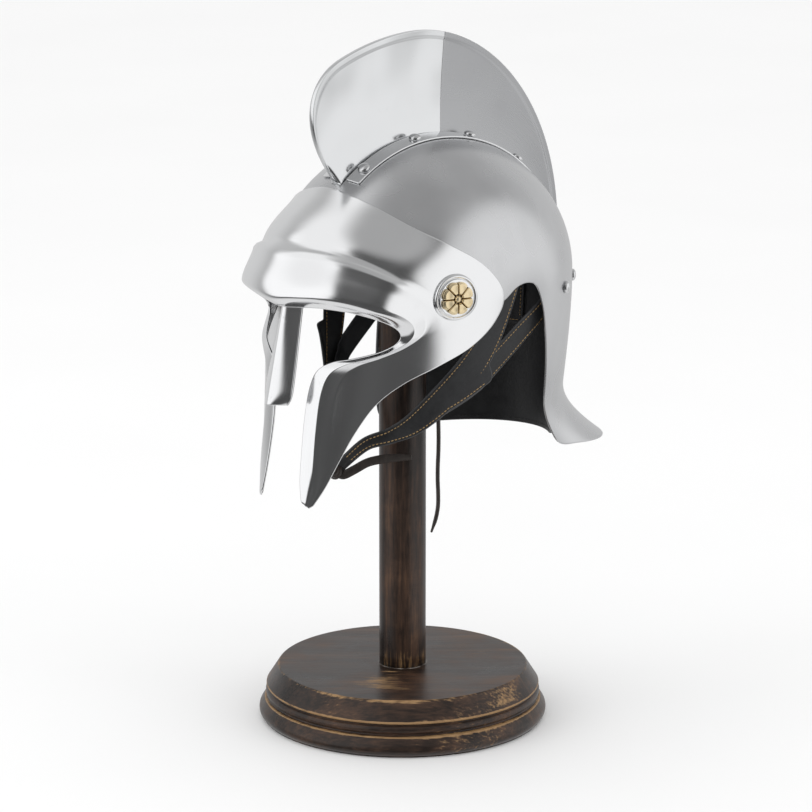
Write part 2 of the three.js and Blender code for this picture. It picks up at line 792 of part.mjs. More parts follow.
const steel = new THREE.MeshStandardMaterial({ color: 0xc9ccd0, roughness: 0.2, metalness: 1 });
const satinSteel = new THREE.MeshStandardMaterial({ color: 0xa9adb2, roughness: 0.32, metalness: 1 });
const brass = new THREE.MeshStandardMaterial({ color: 0xd9b877, roughness: 0.35, metalness: 1 });
const hide = new THREE.MeshStandardMaterial({ color: 0x1b1b1d, roughness: 0.55, metalness: 0 });
const thong = new THREE.MeshStandardMaterial({ color: 0x2a211d, roughness: 0.6, metalness: 0 });
const wood = new THREE.MeshStandardMaterial({ color: 0x33241d, roughness: 0.45, metalness: 0 });

const helmet = new THREE.Group();
const stand = new THREE.Group();

function add(group, name, geometry, material) {
  const mesh = new THREE.Mesh(geometry, material);
  mesh.name = name;
  group.add(mesh);
}

add(helmet, "skull_bowl", skullBowl(), satinSteel);
add(helmet, "face_guard", faceGuard(), steel);
add(helmet, "nasal_guard", nasalGuard(), steel);
add(helmet, "crest_front", crestPlate(0, crestSeam - seamShare, 1, 22), steel);
add(helmet, "crest_rear", crestPlate(crestSeam + seamShare, 1, crestRearThinning, 20), satinSteel);
add(helmet, "nape_curtain", napeCurtain(), hide);
add(helmet, "curtain_patch", curtainPatch(), hide);
add(helmet, "chin_knot", chinKnot(), thong);
add(helmet, "strap_tail", strapTail(), thong);
add(helmet, "lace", lace(), thong);

for (const [side, label] of [
  [1, "left"],
  [-1, "right"],
]) {
  add(helmet, `crest_flange_${label}`, crestFlange(side), steel);
  add(helmet, `temple_boss_${label}`, templeBoss(side), steel);
  add(helmet, `rosette_${label}`, rosette(side), brass);
  add(helmet, `strap_${label}`, band(onSide(strapTable(), side), leather, 22), hide);
  add(helmet, `strap_arm_${label}`, band(onSide(armTable(), side), leather, 10), hide);

  // Rivets through the crest's flange
  const middle = flangeInner + flangeWidth / 2;
  crestRivets.forEach((swing, n) => {
    const foot = overBowl(swing, side * middle, seatGap + flangeWall);
    const normal = foot.clone().sub(overBowl(swing, side * middle, 0)).normalize();
    add(helmet, `rivet_crest_${label}_${n + 1}`, rivet(foot, normal), steel);
  });

  // Rivets through the bowl and the curtain behind the ear
  napeRivets.forEach((bearing, n) => {
    const foot = skin(side * bearing, napeRivetLevel);
    const normal = skinNormal(side * bearing, napeRivetLevel);
    add(helmet, `rivet_nape_${label}_${n + 1}`, rivet(foot, normal), steel);
  });
}

add(stand, "stand_base", standBase(), wood);
add(stand, "stand_pole", standPole(), wood);
add(stand, "stand_knob", standKnob(), wood);

const part = new THREE.Group();
part.add(helmet, stand);

export default part;
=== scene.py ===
"""A crested gladiator helmet of polished steel on its turned wooden display stand.

Shapes are functions of two shares, s along or round a piece and w across it, worked out with
numpy over whole grids. They are in millimetres, as the construction is, and the mesh maker
turns them into metres. Bearings are degrees round the upright axis from the front, and levels
go from 0 at the ear line to 1 at the crown and -1 at the chin. The helmet faces -Y, its
wearer's left side is +X, and the stand's underside is at the origin.
"""

import math

import bpy
import numpy as np
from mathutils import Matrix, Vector


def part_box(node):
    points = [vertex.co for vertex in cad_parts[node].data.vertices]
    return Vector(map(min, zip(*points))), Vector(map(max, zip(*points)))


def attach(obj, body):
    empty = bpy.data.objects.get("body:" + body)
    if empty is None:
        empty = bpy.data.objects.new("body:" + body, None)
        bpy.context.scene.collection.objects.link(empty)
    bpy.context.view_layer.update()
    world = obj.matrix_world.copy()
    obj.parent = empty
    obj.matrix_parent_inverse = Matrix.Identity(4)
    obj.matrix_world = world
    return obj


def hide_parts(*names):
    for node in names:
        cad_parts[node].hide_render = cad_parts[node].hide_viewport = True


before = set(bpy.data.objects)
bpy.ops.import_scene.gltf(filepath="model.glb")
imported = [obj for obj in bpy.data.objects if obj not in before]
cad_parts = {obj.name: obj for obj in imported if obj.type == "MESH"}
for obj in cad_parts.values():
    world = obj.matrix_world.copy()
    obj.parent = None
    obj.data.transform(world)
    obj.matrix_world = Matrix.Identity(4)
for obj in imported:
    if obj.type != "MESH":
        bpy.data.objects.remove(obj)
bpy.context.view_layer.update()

MM = 0.001
PHOTO_SIDE = 812  # pixels

# Camera, at the photograph's angle
CAMERA_BEARING = 47  # degrees round from the front
CAMERA_DISTANCE = 2.635
CAMERA_HEIGHT = 0.890
CAMERA_TARGET = (0.0020, 0.0019, 0.252)
CAMERA_FOCAL = 3455  # pixels
SENSOR = 36  # millimetres

# Skull of the helmet: one smooth skin that every plate follows at its own offset
BOWL_HALF_WIDTH = 100
BOWL_FRONT = 130
BOWL_BACK = 137
BOWL_RISE = 114
BOWL_SETBACK = 18
CROWN_POWER = 1.15
EAR_LINE = 352
FACE_DROP = 160
JAW_TAPER = 0.28
CHIN_LEAD = 22
NAPE_PINCH = 5
NAPE_FLARE = 72
NAPE_SPREAD = 50
FLARE_START = 0.56

# Sheet and clearances
BOWL_WALL = 1.8
GUARD_WALL = 1.8
LEATHER = 2.4
SEAT_GAP = 0.4
LEATHER_GAP = 0.5
CURTAIN_GAP = 1.2

# Face guard
BROW_BULGE = 21
BROW_LIP = 10
BROW_LIP_WIDTH = 8
BROW_SLOPE = 0.3
BROW_STEP = 0.3
BROW_FADE = 0.4
STEP_START, STEP_END = 0.4, 0.47
FOLD_WIDTH = 11
FOLD_RISE = 2.6

# Nose guard
NASAL_LENGTH = 74
NASAL_TUCK = 9
NASAL_TOP_WIDTH = 19
NASAL_WIDTH = 30
NASAL_RIDGE = 9
NASAL_RIDGE_POWER = 1.35
NASAL_LEAN = 17
NASAL_WALL = 2.2
NASAL_TIP = 0.4

# Crest
CREST_HEIGHT = 80
CREST_FOOT = 11
CREST_THINNING = 2.4
CREST_EDGE = 2.6
CREST_BEAD = 4.4
CREST_BEAD_WIDTH = 4
CREST_SEAM = 0.4
CREST_SEAM_GAP = 0.4
CREST_REAR_THINNING = 0.78
CREST_START, CREST_END = 48, 171
CREST_NOSE = 0.15
CREST_NOSE_POWER = 2.3
CREST_HEEL = 0.05
CREST_HEEL_DEPTH = 0.75
CREST_TAIL = 0.2
CREST_FALL = (0.32, 1.06)
FLANGE_GAP = 2.4
FLANGE_WIDTH = 12
FLANGE_WALL = 1.4
FLANGE_INSETS = (2.5, 4)
CREST_RIVETS = (57, 82, 107, 132, 157)

# Fittings
TEMPLE_ANGLE = 67
TEMPLE_HEIGHT = 0.03
BOSS_RADIUS = 18
BOSS_WALL = 2
ROSETTE_RADIUS = 12.4
ROSETTE_HEIGHT = 3.6
PETALS = 8
RIVET_RADIUS = 4.8
RIVET_HEIGHT = 3.4
NAPE_RIVETS = (126, 150)
NAPE_RIVET_LEVEL = -0.04

# Leather
STRAP_WIDTH = 25
STRAP_END_WIDTH = 8
ARM_WIDTH = 18
CURTAIN_DROP = 0.87
CURTAIN_ENDS = (138, 107)
CURTAIN_SWING = (0.3, 11)
CORNER_DROPS = (0.28, 0.12)
CORNER_SPANS = (0.15, 0.06)
PATCH_WALL = 1.9
PATCH_SIZE = (22, 38)
KNOT_RADIUS = 7.5
KNOT_HOLD = 0.93
KNOT_TUCK = 0.35
TAIL_LENGTH = 62
TAIL_WIDTH = 6.5
TAIL_WALL = 2
LACE_DIAMETER = 3.2
LACE_GAP = 0.8

# Stand
BASE_RADIUS = 114.5
BASE_TOP_RADIUS = 99.5
BASE_HEIGHT = 42
BEAD_RADIUS = 109.5
POLE_RADIUS = 18.5
KNOB_RADIUS = 44
KNOB_CURVE = 86
GRAIN_BEARING = 47  # degrees


# Arithmetic


def ease(value, low, high):
    """Share t of the way from low to high, eased as t * t * (3 - 2 * t)."""
    share = np.clip((np.asarray(value, float) - low) / (high - low), 0, 1)
    return share * share * (3 - 2 * share)


def lerp(start, end, share):
    return start + (end - start) * share


def sine(degrees):
    return np.sin(np.radians(degrees))


def cosine(degrees):
    return np.cos(np.radians(degrees))


def unit(vectors):
    length = np.linalg.norm(vectors, axis=-1, keepdims=True)
    return vectors / np.maximum(length, 1e-12)


def lengths(path):
    """Length along a path at each of its points, from 0 at the first."""
    return np.concatenate([[0], np.cumsum(np.linalg.norm(np.diff(path, axis=0), axis=-1))])


def lines(count, tight=0.0):
    """Even shares from 0 to 1, with one more line near each end where tight is given."""
    even = np.linspace(0, 1, count + 1)
    return np.unique(np.concatenate([even, [tight, 1 - tight]])) if tight else even


def grid(columns, rows):
    """Two arrays over a grid: the column's share and the row's share at each point."""
    return np.meshgrid(columns, rows, indexing="ij")


def along(table, share, before=None, after=None):
    """Catmull-Rom curve through a table's rows: between rows p and q, with o before and r
    after them, p + t/2 * ((q-o) + t * ((2o-5p+4q-r) + t * (3(p-q) + r-o)))."""
    rows = np.asarray(table, float)
    first = rows[0] if before is None else np.asarray(before, float)
    final = rows[-1] if after is None else np.asarray(after, float)
    rows = np.vstack([first, rows, final])
    place = np.clip(share, 0, 1) * (len(rows) - 3)
    k = np.minimum(place.astype(int), len(rows) - 4)
    t = (place - k)[..., None]
    o, p, q, r = (rows[k + n] for n in range(4))
    bend = 2 * o - 5 * p + 4 * q - r
    twist = 3 * (p - q) + r - o
    return p + t / 2 * (q - o + t * (bend + t * twist))


def skin(bearing, level, flare=1.0):
    """Point of the skull's skin. Over the ear line it is half an ellipsoid: a meridian angle
    of 90 degrees times the level. Below it the same oval goes straight down, drawn in at the
    jaw and swept out at the nape."""
    bearing, level = np.broadcast_arrays(np.asarray(bearing, float), np.asarray(level, float))
    drop = np.maximum(-level, 0)
    rise = 90 * np.maximum(level, 0)
    sweep = flare * 2 * ease(drop, FLARE_START, 2 - FLARE_START)
    behind = np.minimum(cosine(bearing), 0) ** 2
    width = BOWL_HALF_WIDTH * (1 - JAW_TAPER * drop**2) + NAPE_SPREAD * sweep * behind
    front = BOWL_FRONT + CHIN_LEAD * drop**2
    back = BOWL_BACK - NAPE_PINCH * ease(drop, 0, 1.25 * FLARE_START) + NAPE_FLARE * sweep
    reach = np.where(cosine(bearing) > 0, front, back)
    return np.stack(
        [
            width * sine(bearing) * cosine(rise),
            BOWL_SETBACK - reach * cosine(bearing) * cosine(rise),
            EAR_LINE - FACE_DROP * drop + BOWL_RISE * sine(rise),
        ],
        -1,
    )


def skin_normal(bearing, level, flare=1.0):
    """Cross product of small steps round and up the skin; straight up at the crown."""
    step = 0.004
    across = skin(bearing + 90 * step, level, flare) - skin(bearing - 90 * step, level, flare)
    up = skin(bearing, level + step, flare) - skin(bearing, level - step, flare)
    normal = unit(np.cross(across, up))
    crown = np.broadcast_to(np.asarray(level) > 0.995, normal.shape[:-1])
    return np.where(crown[..., None], [0.0, 0.0, 1.0], normal)


def off_skin(bearing, level, offset, flare=1.0):
    """Point at a distance from the skin, along its normal."""
    normal = skin_normal(bearing, level, flare)
    return skin(bearing, level, flare) + normal * np.asarray(offset, float)[..., None]


# Materials


class Wire:
    """An output socket. Arithmetic on it adds Math nodes to its material."""

    def __init__(self, finish, socket):
        self.finish = finish
        self.socket = socket

    def math(self, operation, *values):
        return self.finish.node("ShaderNodeMath", {"operation": operation}, values)

    def __add__(self, other):
        return self.math("ADD", self, other)

    def __sub__(self, other):
        return self.math("SUBTRACT", self, other)

    def __rsub__(self, other):
        return self.math("SUBTRACT", other, self)

    def __mul__(self, other):
        return self.math("MULTIPLY", self, other)

    __radd__ = __add__
    __rmul__ = __mul__

    def between(self, low, high):
        """0 below low and 1 above high, eased between them."""
        settings = {"interpolation_type": "SMOOTHSTEP", "clamp": True}
        values = {"Value": self, "From Min": low, "From Max": high}
        return self.finish.node("ShaderNodeMapRange", settings, values)


def socket_name(name):
    """Name of a shader's socket, from a keyword such as base_color."""
    return name.replace("_", " ").title().replace("Ior", "IOR")


class Nodes:
    """A node tree of a material or of the world."""

    def __init__(self, tree):
        self.tree = tree

    def put(self, socket, value):
        if isinstance(value, Wire):
            self.tree.links.new(value.socket, socket)
        elif isinstance(value, tuple) and len(value) == 3 and socket.type == "RGBA":
            socket.default_value = (*value, 1)
        else:
            socket.default_value = value

    def node(self, kind, settings=None, values=(), output=0):
        """Adds a node: its settings first, then the values or links of its sockets."""
        node = self.tree.nodes.new(kind)
        for name, value in (settings or {}).items():
            if name == "stops":
                while len(node.color_ramp.elements) < len(value):
                    node.color_ramp.elements.new(0.5)
                for stop, (place, colour) in zip(node.color_ramp.elements, value):
                    stop.position = place
                    stop.color = (*colour, 1)
            else:
                setattr(node, name, value)
        pairs = values.items() if isinstance(values, dict) else enumerate(values)
        for key, value in pairs:
            self.put(node.inputs[key], value)
        return Wire(self, node.outputs[output])


class Finish(Nodes):
    """A material whose surface is one Principled shader. Numbers given by name are set on the
    shader's own sockets."""

    def __init__(self, name, **constants):
        self.material = bpy.data.materials.new(name)
        self.material.use_nodes = True
        super().__init__(self.material.node_tree)
        self.surface = self.tree.nodes["Principled BSDF"]
        for name, value in constants.items():
            self.surface.inputs[socket_name(name)].default_value = value

    def place(self, source="Object", scale=(1, 1, 1)):
        """Coordinates of the piece, stretched by a factor along each axis."""
        where = self.node("ShaderNodeTexCoord", output=source)
        return self.node("ShaderNodeMapping", None, {"Vector": where, "Scale": scale})

    def noise(self, where, scale, detail=2.0, roughness=0.5, distortion=0.0):
        values = {"Vector": where, "Scale": scale, "Detail": detail}
        values.update({"Roughness": roughness, "Distortion": distortion})
        return self.node("ShaderNodeTexNoise", None, values)

    def cells(self, where, scale, feature):
        values = {"Vector": where, "Scale": scale}
        return self.node("ShaderNodeTexVoronoi", {"feature": feature}, values)

    def attribute(self, name):
        return self.node("ShaderNodeAttribute", {"attribute_name": name}, output="Fac")

    def mix(self, share, first, second):
        """Colours mixed by a share."""
        values = {0: share, 6: first, 7: second}
        return self.node("ShaderNodeMix", {"data_type": "RGBA"}, values, output=2)

    def ramp(self, value, stops):
        return self.node("ShaderNodeValToRGB", {"stops": stops}, [value])

    def bump(self, height, distance, strength=1.0, under=None):
        values = {"Height": height, "Distance": distance, "Strength": strength}
        if under is not None:
            values["Normal"] = under
        return self.node("ShaderNodeBump", None, values)

    def wear(self, **sockets):
        """Links or sets the shader's sockets and gives the material."""
        for name, value in sockets.items():
            self.put(self.surface.inputs[socket_name(name)], value)
        return self.material


def polished_steel(name, tint, roughness, streak, source="UV", stretch=(14, 900, 1), dent=0.0008):
    """Steel with faint polishing lines along the plate, cloudiness and soft dents."""
    finish = Finish(name, metallic=1.0)
    fine = finish.noise(finish.place(source, stretch), 1, 3, 0.6)
    body = finish.place()
    cloud = finish.noise(body, 16, 4, 0.55, 0.4)
    broad = finish.noise(body, 9, 2, 0.5, 0.5)
    dents = finish.noise(body, 15, 1, 0.4)
    spots = finish.noise(body, 230, 2, 0.5).between(0.68, 0.8)
    shade = fine * (2 * streak) + cloud * 0.3 + broad * 0.3 + spots * -0.1 + (0.7 - streak)
    dark = tuple(0.6 * c for c in tint)
    colour = finish.mix(shade, dark, tint)
    rough = roughness + (cloud - 0.5) * 0.16 + (fine - 0.5) * 0.1 + spots * 0.1
    under = finish.bump(dents, dent, 0.8)
    return finish.wear(
        base_color=colour, roughness=rough, normal=finish.bump(fine, 0.00003, 0.3, under),
    )


def satin_bowl_steel(name):
    """Satin steel: broad soft clouds, a finer haze and shallow dents."""
    finish = Finish(name, metallic=1.0)
    body = finish.place()
    cloud = finish.noise(body, 10, 3, 0.5)
    haze = finish.noise(body, 38, 2, 0.5)
    dents = finish.noise(body, 12, 0, 0.4)
    shade = cloud * 0.62 + haze * 0.24 + 0.08
    colour = finish.mix(shade, (0.44, 0.445, 0.455), (0.82, 0.825, 0.835))
    rough = 0.28 + (cloud - 0.5) * 0.16 + (haze - 0.5) * 0.08
    return finish.wear(base_color=colour, roughness=rough, normal=finish.bump(dents, 0.0006, 0.2))


def aged_brass(name):
    """Pale brass, bright on its heights and brown in its lines."""
    finish = Finish(name, metallic=1.0)
    grime = finish.noise(finish.place(), 420, 3, 0.6)
    bright = (finish.attribute("height") + (grime - 0.5) * 0.1).between(0.3, 0.5)
    worn = finish.mix(grime, (0.8, 0.63, 0.37), (0.96, 0.83, 0.57))
    colour = finish.mix(bright, (0.13, 0.07, 0.028), worn)
    rough = 0.62 - bright * 0.28 + (grime - 0.5) * 0.12
    return finish.wear(base_color=colour, roughness=rough, normal=finish.bump(grime, 0.00003, 0.3))


def grain_leather(name, dark, light, roughness=0.5):
    """Fine pebbled leather: small cells between creases, paler at its rubbed edges."""
    finish = Finish(name, specular_ior_level=0.42)
    body = finish.place()
    warp = finish.noise(body, 90, 3, 0.6)
    pebble = finish.cells(body, 950, "SMOOTH_F1")
    crease = finish.noise(body, 240, 4, 0.65, 0.6)
    edge = finish.attribute("edge")
    rub = (edge + (warp - 0.5) * 0.5).between(0.35, 1.0)
    shade = warp * 0.5 + crease * 0.3 + rub * 0.75 - 0.2
    colour = finish.mix(shade, dark, light)
    rough = roughness + (warp - 0.5) * 0.3 + pebble * 0.18 - 0.05
    under = finish.bump(crease, 0.0003, 0.35)
    return finish.wear(
        base_color=colour, roughness=rough, normal=finish.bump(pebble, 0.00022, 0.35, under)
    )


def thong_leather(name):
    """Dark waxed lacing, drawn smooth along its length."""
    finish = Finish(name, specular_ior_level=0.5)
    body = finish.place()
    drawn = finish.noise(finish.place("Object", (500, 500, 90)), 1, 3, 0.6)
    patch = finish.noise(body, 120, 3, 0.6)
    colour = finish.mix(drawn * 0.6 + patch * 0.6 - 0.2, (0.007, 0.006, 0.006), (0.05, 0.036, 0.028))
    rough = 0.42 + (patch - 0.5) * 0.4
    return finish.wear(base_color=colour, roughness=rough, normal=finish.bump(drawn, 0.0002, 0.5))


def waxed_thread(name):
    """Tan thread of two plies, darker where wax has taken dirt."""
    finish = Finish(name)
    body = finish.place()
    ply = finish.noise(finish.place("Object", (1500, 1500, 1500)), 1, 2, 0.5)
    dirt = finish.noise(body, 60, 2, 0.5)
    colour = finish.mix(ply * 0.5 + dirt * 0.7 - 0.1, (0.2, 0.12, 0.045), (0.52, 0.34, 0.15))
    return finish.wear(
        base_color=colour, roughness=0.6 + (dirt - 0.5) * 0.3, normal=finish.bump(ply, 0.0001, 0.6),
    )


def stained_wood(name, turn, stretch):
    """Wood under a dark stain, rubbed through to tan where the edge attribute is high and in
    patches, and whitish where the glue attribute is. Its grain is noise drawn out by a factor
    along each axis, after a turn round the upright axis."""
    finish = Finish(name, coat_roughness=0.25, coat_weight=0.06, specular_ior_level=0.34)
    body = finish.place()
    turned = finish.node(
        "ShaderNodeVectorRotate", {"rotation_type": "Z_AXIS"}, {"Vector": body, "Angle": turn}
    )
    plank = finish.node("ShaderNodeMapping", None, {"Vector": turned, "Scale": stretch})
    fibre = finish.noise(plank, 520, 5, 0.66, 0.3)
    broad = finish.noise(plank, 75, 4, 0.6, 0.5)
    blotch = finish.noise(body, 20, 5, 0.62, 0.5)
    scuff = finish.noise(body, 95, 5, 0.7, 0.3)
    edge = finish.attribute("edge")
    patch = finish.noise(body, 13, 2, 0.5).between(0.52, 0.72)
    rub = edge * 0.5 + patch * 0.2 + fibre * 0.72 + scuff * 0.16 + blotch * 0.1
    rub = rub.between(0.8, 1.02)
    stain = finish.ramp(
        fibre * 0.3 + broad * 0.35 + blotch * 0.4,
        [
            (0.4, (0.007, 0.0052, 0.0045)),
            (0.5, (0.022, 0.0135, 0.01)),
            (0.58, (0.05, 0.027, 0.017)),
            (0.7, (0.12, 0.06, 0.03)),
        ],
    )
    bare = finish.mix(fibre * 0.6 + scuff * 0.6 - 0.1, (0.13, 0.066, 0.028), (0.5, 0.31, 0.14))
    rough = 0.34 + (blotch - 0.5) * 0.35 + (fibre - 0.5) * 0.25 + rub * 0.15
    under = finish.bump(blotch, 0.001, 0.15)
    glue = finish.attribute("glue") * scuff.between(0.36, 0.56)
    return finish.wear(
        base_color=finish.mix(glue, finish.mix(rub * 0.85, stain, bare), (0.42, 0.39, 0.35)),
        roughness=rough, normal=finish.bump(fibre, 0.0003, 0.45, under),
    )


def plain_floor(name):
    """Pale matt floor, almost even."""
    finish = Finish(name)
    grain = finish.noise(finish.place(), 3, 2, 0.5)
    colour = finish.mix(grain, (0.86, 0.86, 0.86), (0.88, 0.88, 0.88))
    return finish.wear(base_color=colour, roughness=0.75 + grain * 0.1)


# Meshes


def add(name, data):
    """A new object in the scene."""
    made = bpy.data.objects.new(name, data)
    bpy.context.scene.collection.objects.link(made)
    return made


def piece(name, points, faces, material, replaces=(), uv=None, values=None):
    """Puts points, in millimetres, and faces into a mesh of its own, turned outwards, riding
    on the body. uv and values give each point its own coordinates and attributes."""
    used, place = np.unique(np.concatenate([f.ravel() for f in faces]), return_inverse=True)
    points = points.reshape(-1, 3)[used] * MM
    cuts = np.cumsum([0] + [f.size for f in faces])
    faces = [place[a:b].reshape(f.shape) for a, b, f in zip(cuts, cuts[1:], faces)]
    volume = 0.0
    for block in faces:
        for k in range(1, block.shape[1] - 1):
            a, b, c = points[block[:, 0]], points[block[:, k]], points[block[:, k + 1]]
            volume += np.einsum("ij,ij->i", a, np.cross(b, c)).sum()
    if volume < 0:
        faces = [block[:, ::-1] for block in faces]
    mesh = bpy.data.meshes.new(name)
    mesh.from_pydata(points.tolist(), [], [row for block in faces for row in block.tolist()])
    mesh.polygons.foreach_set("use_smooth", np.ones(len(mesh.polygons), bool))
    corner = np.empty(len(mesh.loops), np.int64)
    mesh.loops.foreach_get("vertex_index", corner)
    if uv is not None:
        layer = mesh.uv_layers.new(name="plate")
        layer.data.foreach_set("uv", (uv.reshape(-1, 2)[used] * MM)[corner].ravel())
    for key, value in (values or {}).items():
        layer = mesh.attributes.new(key, "FLOAT", "POINT")
        layer.data.foreach_set("value", np.ravel(value)[used].astype(np.float32))
    mesh.materials.append(material)
    mesh.update()
    made = add(name, mesh)
    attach(made, "root")
    if replaces:
        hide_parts(*replaces)
    return made


def numbers(points):
    """Numbers of the points of a grid."""
    return np.arange(points[..., 0].size).reshape(points.shape[:2])


def net(ids, ring=False, pole=False):
    """Faces of a grid of point numbers. ring closes the columns, and pole draws the last row
    to its first point."""
    if ring:
        ids = np.vstack([ids, ids[:1]])
    a, b, c, d = ids[:-1, :-1], ids[1:, :-1], ids[1:, 1:], ids[:-1, 1:]
    if not pole:
        return [np.stack([a, b, c, d], -1).reshape(-1, 4)]
    quads = np.stack([x[:, :-1] for x in (a, b, c, d)], -1).reshape(-1, 4)
    tip = np.full(len(a), ids[0, -1])
    return [quads, np.stack([a[:, -1], b[:, -1], tip], -1)]


def rim_loops(columns, rows, ring, pole):
    """Column and row of each point round the free edges, each loop in the faces' own sense."""
    i, j = np.arange(columns), np.arange(rows)
    if ring:
        low = (i, np.zeros(columns, int))
        high = (i[::-1], np.full(columns, rows - 1))
        return [low] if pole else [low, high]
    sides = [
        (i[:-1], np.zeros(columns - 1, int)),
        (np.full(rows - 1, columns - 1), j[:-1]),
        (i[:0:-1], np.full(columns - 1, rows - 1)),
        (np.zeros(rows - 1, int), j[:0:-1]),
    ]
    return [tuple(np.concatenate(part) for part in zip(*sides))]


RIM_ANGLES = np.linspace(0, math.pi, 7)[1:-1]


def plate(
    name, outer, inner, material, replaces, overhang, ring=False, pole=False, uv=None, values=None
):
    """Closed wall between two faces over one grid. Its cut edge is rounded: a rim point is
    the middle + half the wall * cos(angle) + overhang * sin(angle) * the way outwards. uv and
    values are those of the grid, and both faces and the rim take them over."""
    columns, rows = outer.shape[:2]
    count = columns * rows
    ids = np.arange(count).reshape(columns, rows)
    points = [outer.reshape(-1, 3), inner.reshape(-1, 3)]
    faces = net(ids, ring, pole) + [f[:, ::-1] for f in net(ids + count, ring, pole)]
    middle, half = (outer + inner) / 2, (outer - inner) / 2
    sources = [np.arange(count), np.arange(count)]
    total = 2 * count
    for i, j in rim_loops(columns, rows, ring, pole):
        near_i = i if ring else np.clip(i, 1, columns - 2)
        near_j = np.clip(j, 1, rows - 2)
        edge = middle[i, j]
        way = edge - middle[near_i, near_j]
        run = unit(np.roll(edge, -1, 0) - np.roll(edge, 1, 0))
        wall = unit(half[i, j])
        way = way - wall * np.sum(way * wall, -1, keepdims=True)
        way = unit(way - run * np.sum(way * run, -1, keepdims=True))
        arcs = [edge + half[i, j] * math.cos(t) + way * overhang * math.sin(t) for t in RIM_ANGLES]
        loop = len(i)
        strip = [ids[i, j]] + [total + n * loop + np.arange(loop) for n in range(len(arcs))]
        strip.append(ids[i, j] + count)
        faces += net(np.stack(strip, 1)[::-1], ring=True)
        points += arcs
        sources += [ids[i, j]] * len(arcs)
        total += loop * len(arcs)
    source = np.concatenate(sources)
    values = {key: np.ravel(value)[source] for key, value in (values or {}).items()}
    uv = None if uv is None else uv.reshape(-1, 2)[source]
    return piece(name, np.concatenate(points), faces, material, replaces, uv, values)


def spans(points):
    """Lengths over a grid of points: from column to column as measured in the middle row, and
    along each column from its first point."""
    across = np.linalg.norm(np.diff(points, axis=1), axis=-1)
    down = np.linalg.norm(np.diff(points, axis=0), axis=-1)
    u = np.concatenate([np.zeros((1, points.shape[1])), np.cumsum(down, 0)])
    v = np.concatenate([np.zeros((points.shape[0], 1)), np.cumsum(across, 1)], 1)
    middle = points.shape[1] // 2
    return np.stack([np.broadcast_to(u[:, middle : middle + 1], v.shape), v], -1)


def lathe(name, profile, segments, material, replaces=(), values=None):
    """A profile of radius and height turned round the pole's axis. It starts and ends on the
    axis, and each end is one point. values are given for the profile's points, or for all."""
    angle = 2 * math.pi * np.arange(segments) / segments
    r, z = profile[:, 0], profile[:, 1]
    points = np.stack(
        [np.outer(np.sin(angle), r), -np.outer(np.cos(angle), r), np.outer(np.ones(segments), z)], -1,
    )
    ids = numbers(points)
    foot = np.stack([np.roll(ids[:, 1], -1), ids[:, 1], np.full(segments, ids[0, 0])], -1)
    faces = [foot] + net(ids[:, 1:], ring=True, pole=True)
    values = {key: np.broadcast_to(v, ids.shape) for key, v in (values or {}).items()}
    piece(name, points, faces, material, replaces, values=values)


def arc(centre, radius, start, end, count=12):
    """Points of radius and height on an arc from one angle to another, in degrees."""
    angle = np.radians(np.linspace(start, end, count))
    return np.stack([centre[0] + radius * np.cos(angle), centre[1] + radius * np.sin(angle)], -1)


def tube(path, radius, side, sides=12):
    """Rings round a path: centre + radius * (cos * side + sin * (tangent x side)). The radius
    is given for each ring, and side is a direction near square to the path."""
    tangent = unit(np.gradient(path, axis=0))
    side = np.broadcast_to(np.asarray(side, float), path.shape)
    side = unit(side - tangent * np.sum(side * tangent, -1, keepdims=True))
    other = np.cross(tangent, side)
    angle = 2 * math.pi * np.arange(sides) / sides
    ring = np.cos(angle)[:, None, None] * side + np.sin(angle)[:, None, None] * other
    return path + np.asarray(radius, float).reshape(-1, 1) * ring


def tube_faces(ids):
    """Faces of a tube whose rings are numbered by side and place, with one point for its
    first ring and one for its last."""
    sides = len(ids)
    after = np.roll(np.arange(sides), -1)
    start = np.stack([ids[after, 1], ids[:, 1], np.full(sides, ids[0, 0])], -1)
    return [start] + net(ids[:, 1:], ring=True, pole=True)


# Pieces of the helmet

HEM = -0.9  # level

# Columns: bearing in degrees, level, bearing at the crown
BOWL_EDGE = [
    [0, 0.1, 0],
    [12, 0.1, 10],
    [24, 0.1, 21],
    [36, 0.09, 32],
    [48, 0.06, 43],
    [58, 0.01, 53],
    [67, -0.04, 61],
    [75, -0.055, 69],
    [82, -0.045, 76],
    [88, -0.01, 83],
    [93.5, 0.035, 90],
    [99, 0.045, 97],
    [104, 0.02, 104],
    [107.5, -0.06, 111],
    [110.5, -0.2, 118],
    [113.5, -0.37, 125],
    [116, -0.55, 132],
    [118.5, -0.74, 139],
    [120.5, 0.93 * HEM, 145],
    [129, 0.96 * HEM, 150],
    [140, 0.985 * HEM, 156],
    [151, HEM, 162],
    [161, HEM, 168],
    [170.5, HEM, 174],
    [180, HEM, 180],
]


def bowl_shell(material):
    """Bowl and neck plate: from the edge at row share 0 the bearing goes to that of the crown
    as the share to a power, and the level evenly to 1."""
    s, w = grid(np.arange(288) / 288, lines(96, 0.003))
    side = np.where(s <= 0.5, 1, -1)
    table = np.array(BOWL_EDGE)
    before, after = table[1] * [-1, 1, -1], table[-2] * [-1, 1, -1] + [360, 0, 360]
    edge = along(table, np.where(s <= 0.5, 2 * s, 2 - 2 * s), before, after)
    bearing = side * lerp(edge[..., 0], edge[..., 2], w**CROWN_POWER)
    level = lerp(edge[..., 1], 1, w)
    outer = off_skin(bearing, level, 0 * w)
    inner = off_skin(bearing, level, 0 * w - BOWL_WALL)
    plate(
        "bowl_shell", outer, inner, material, ["skull_bowl"], ring=True, pole=True,
        overhang=0.3,
    )


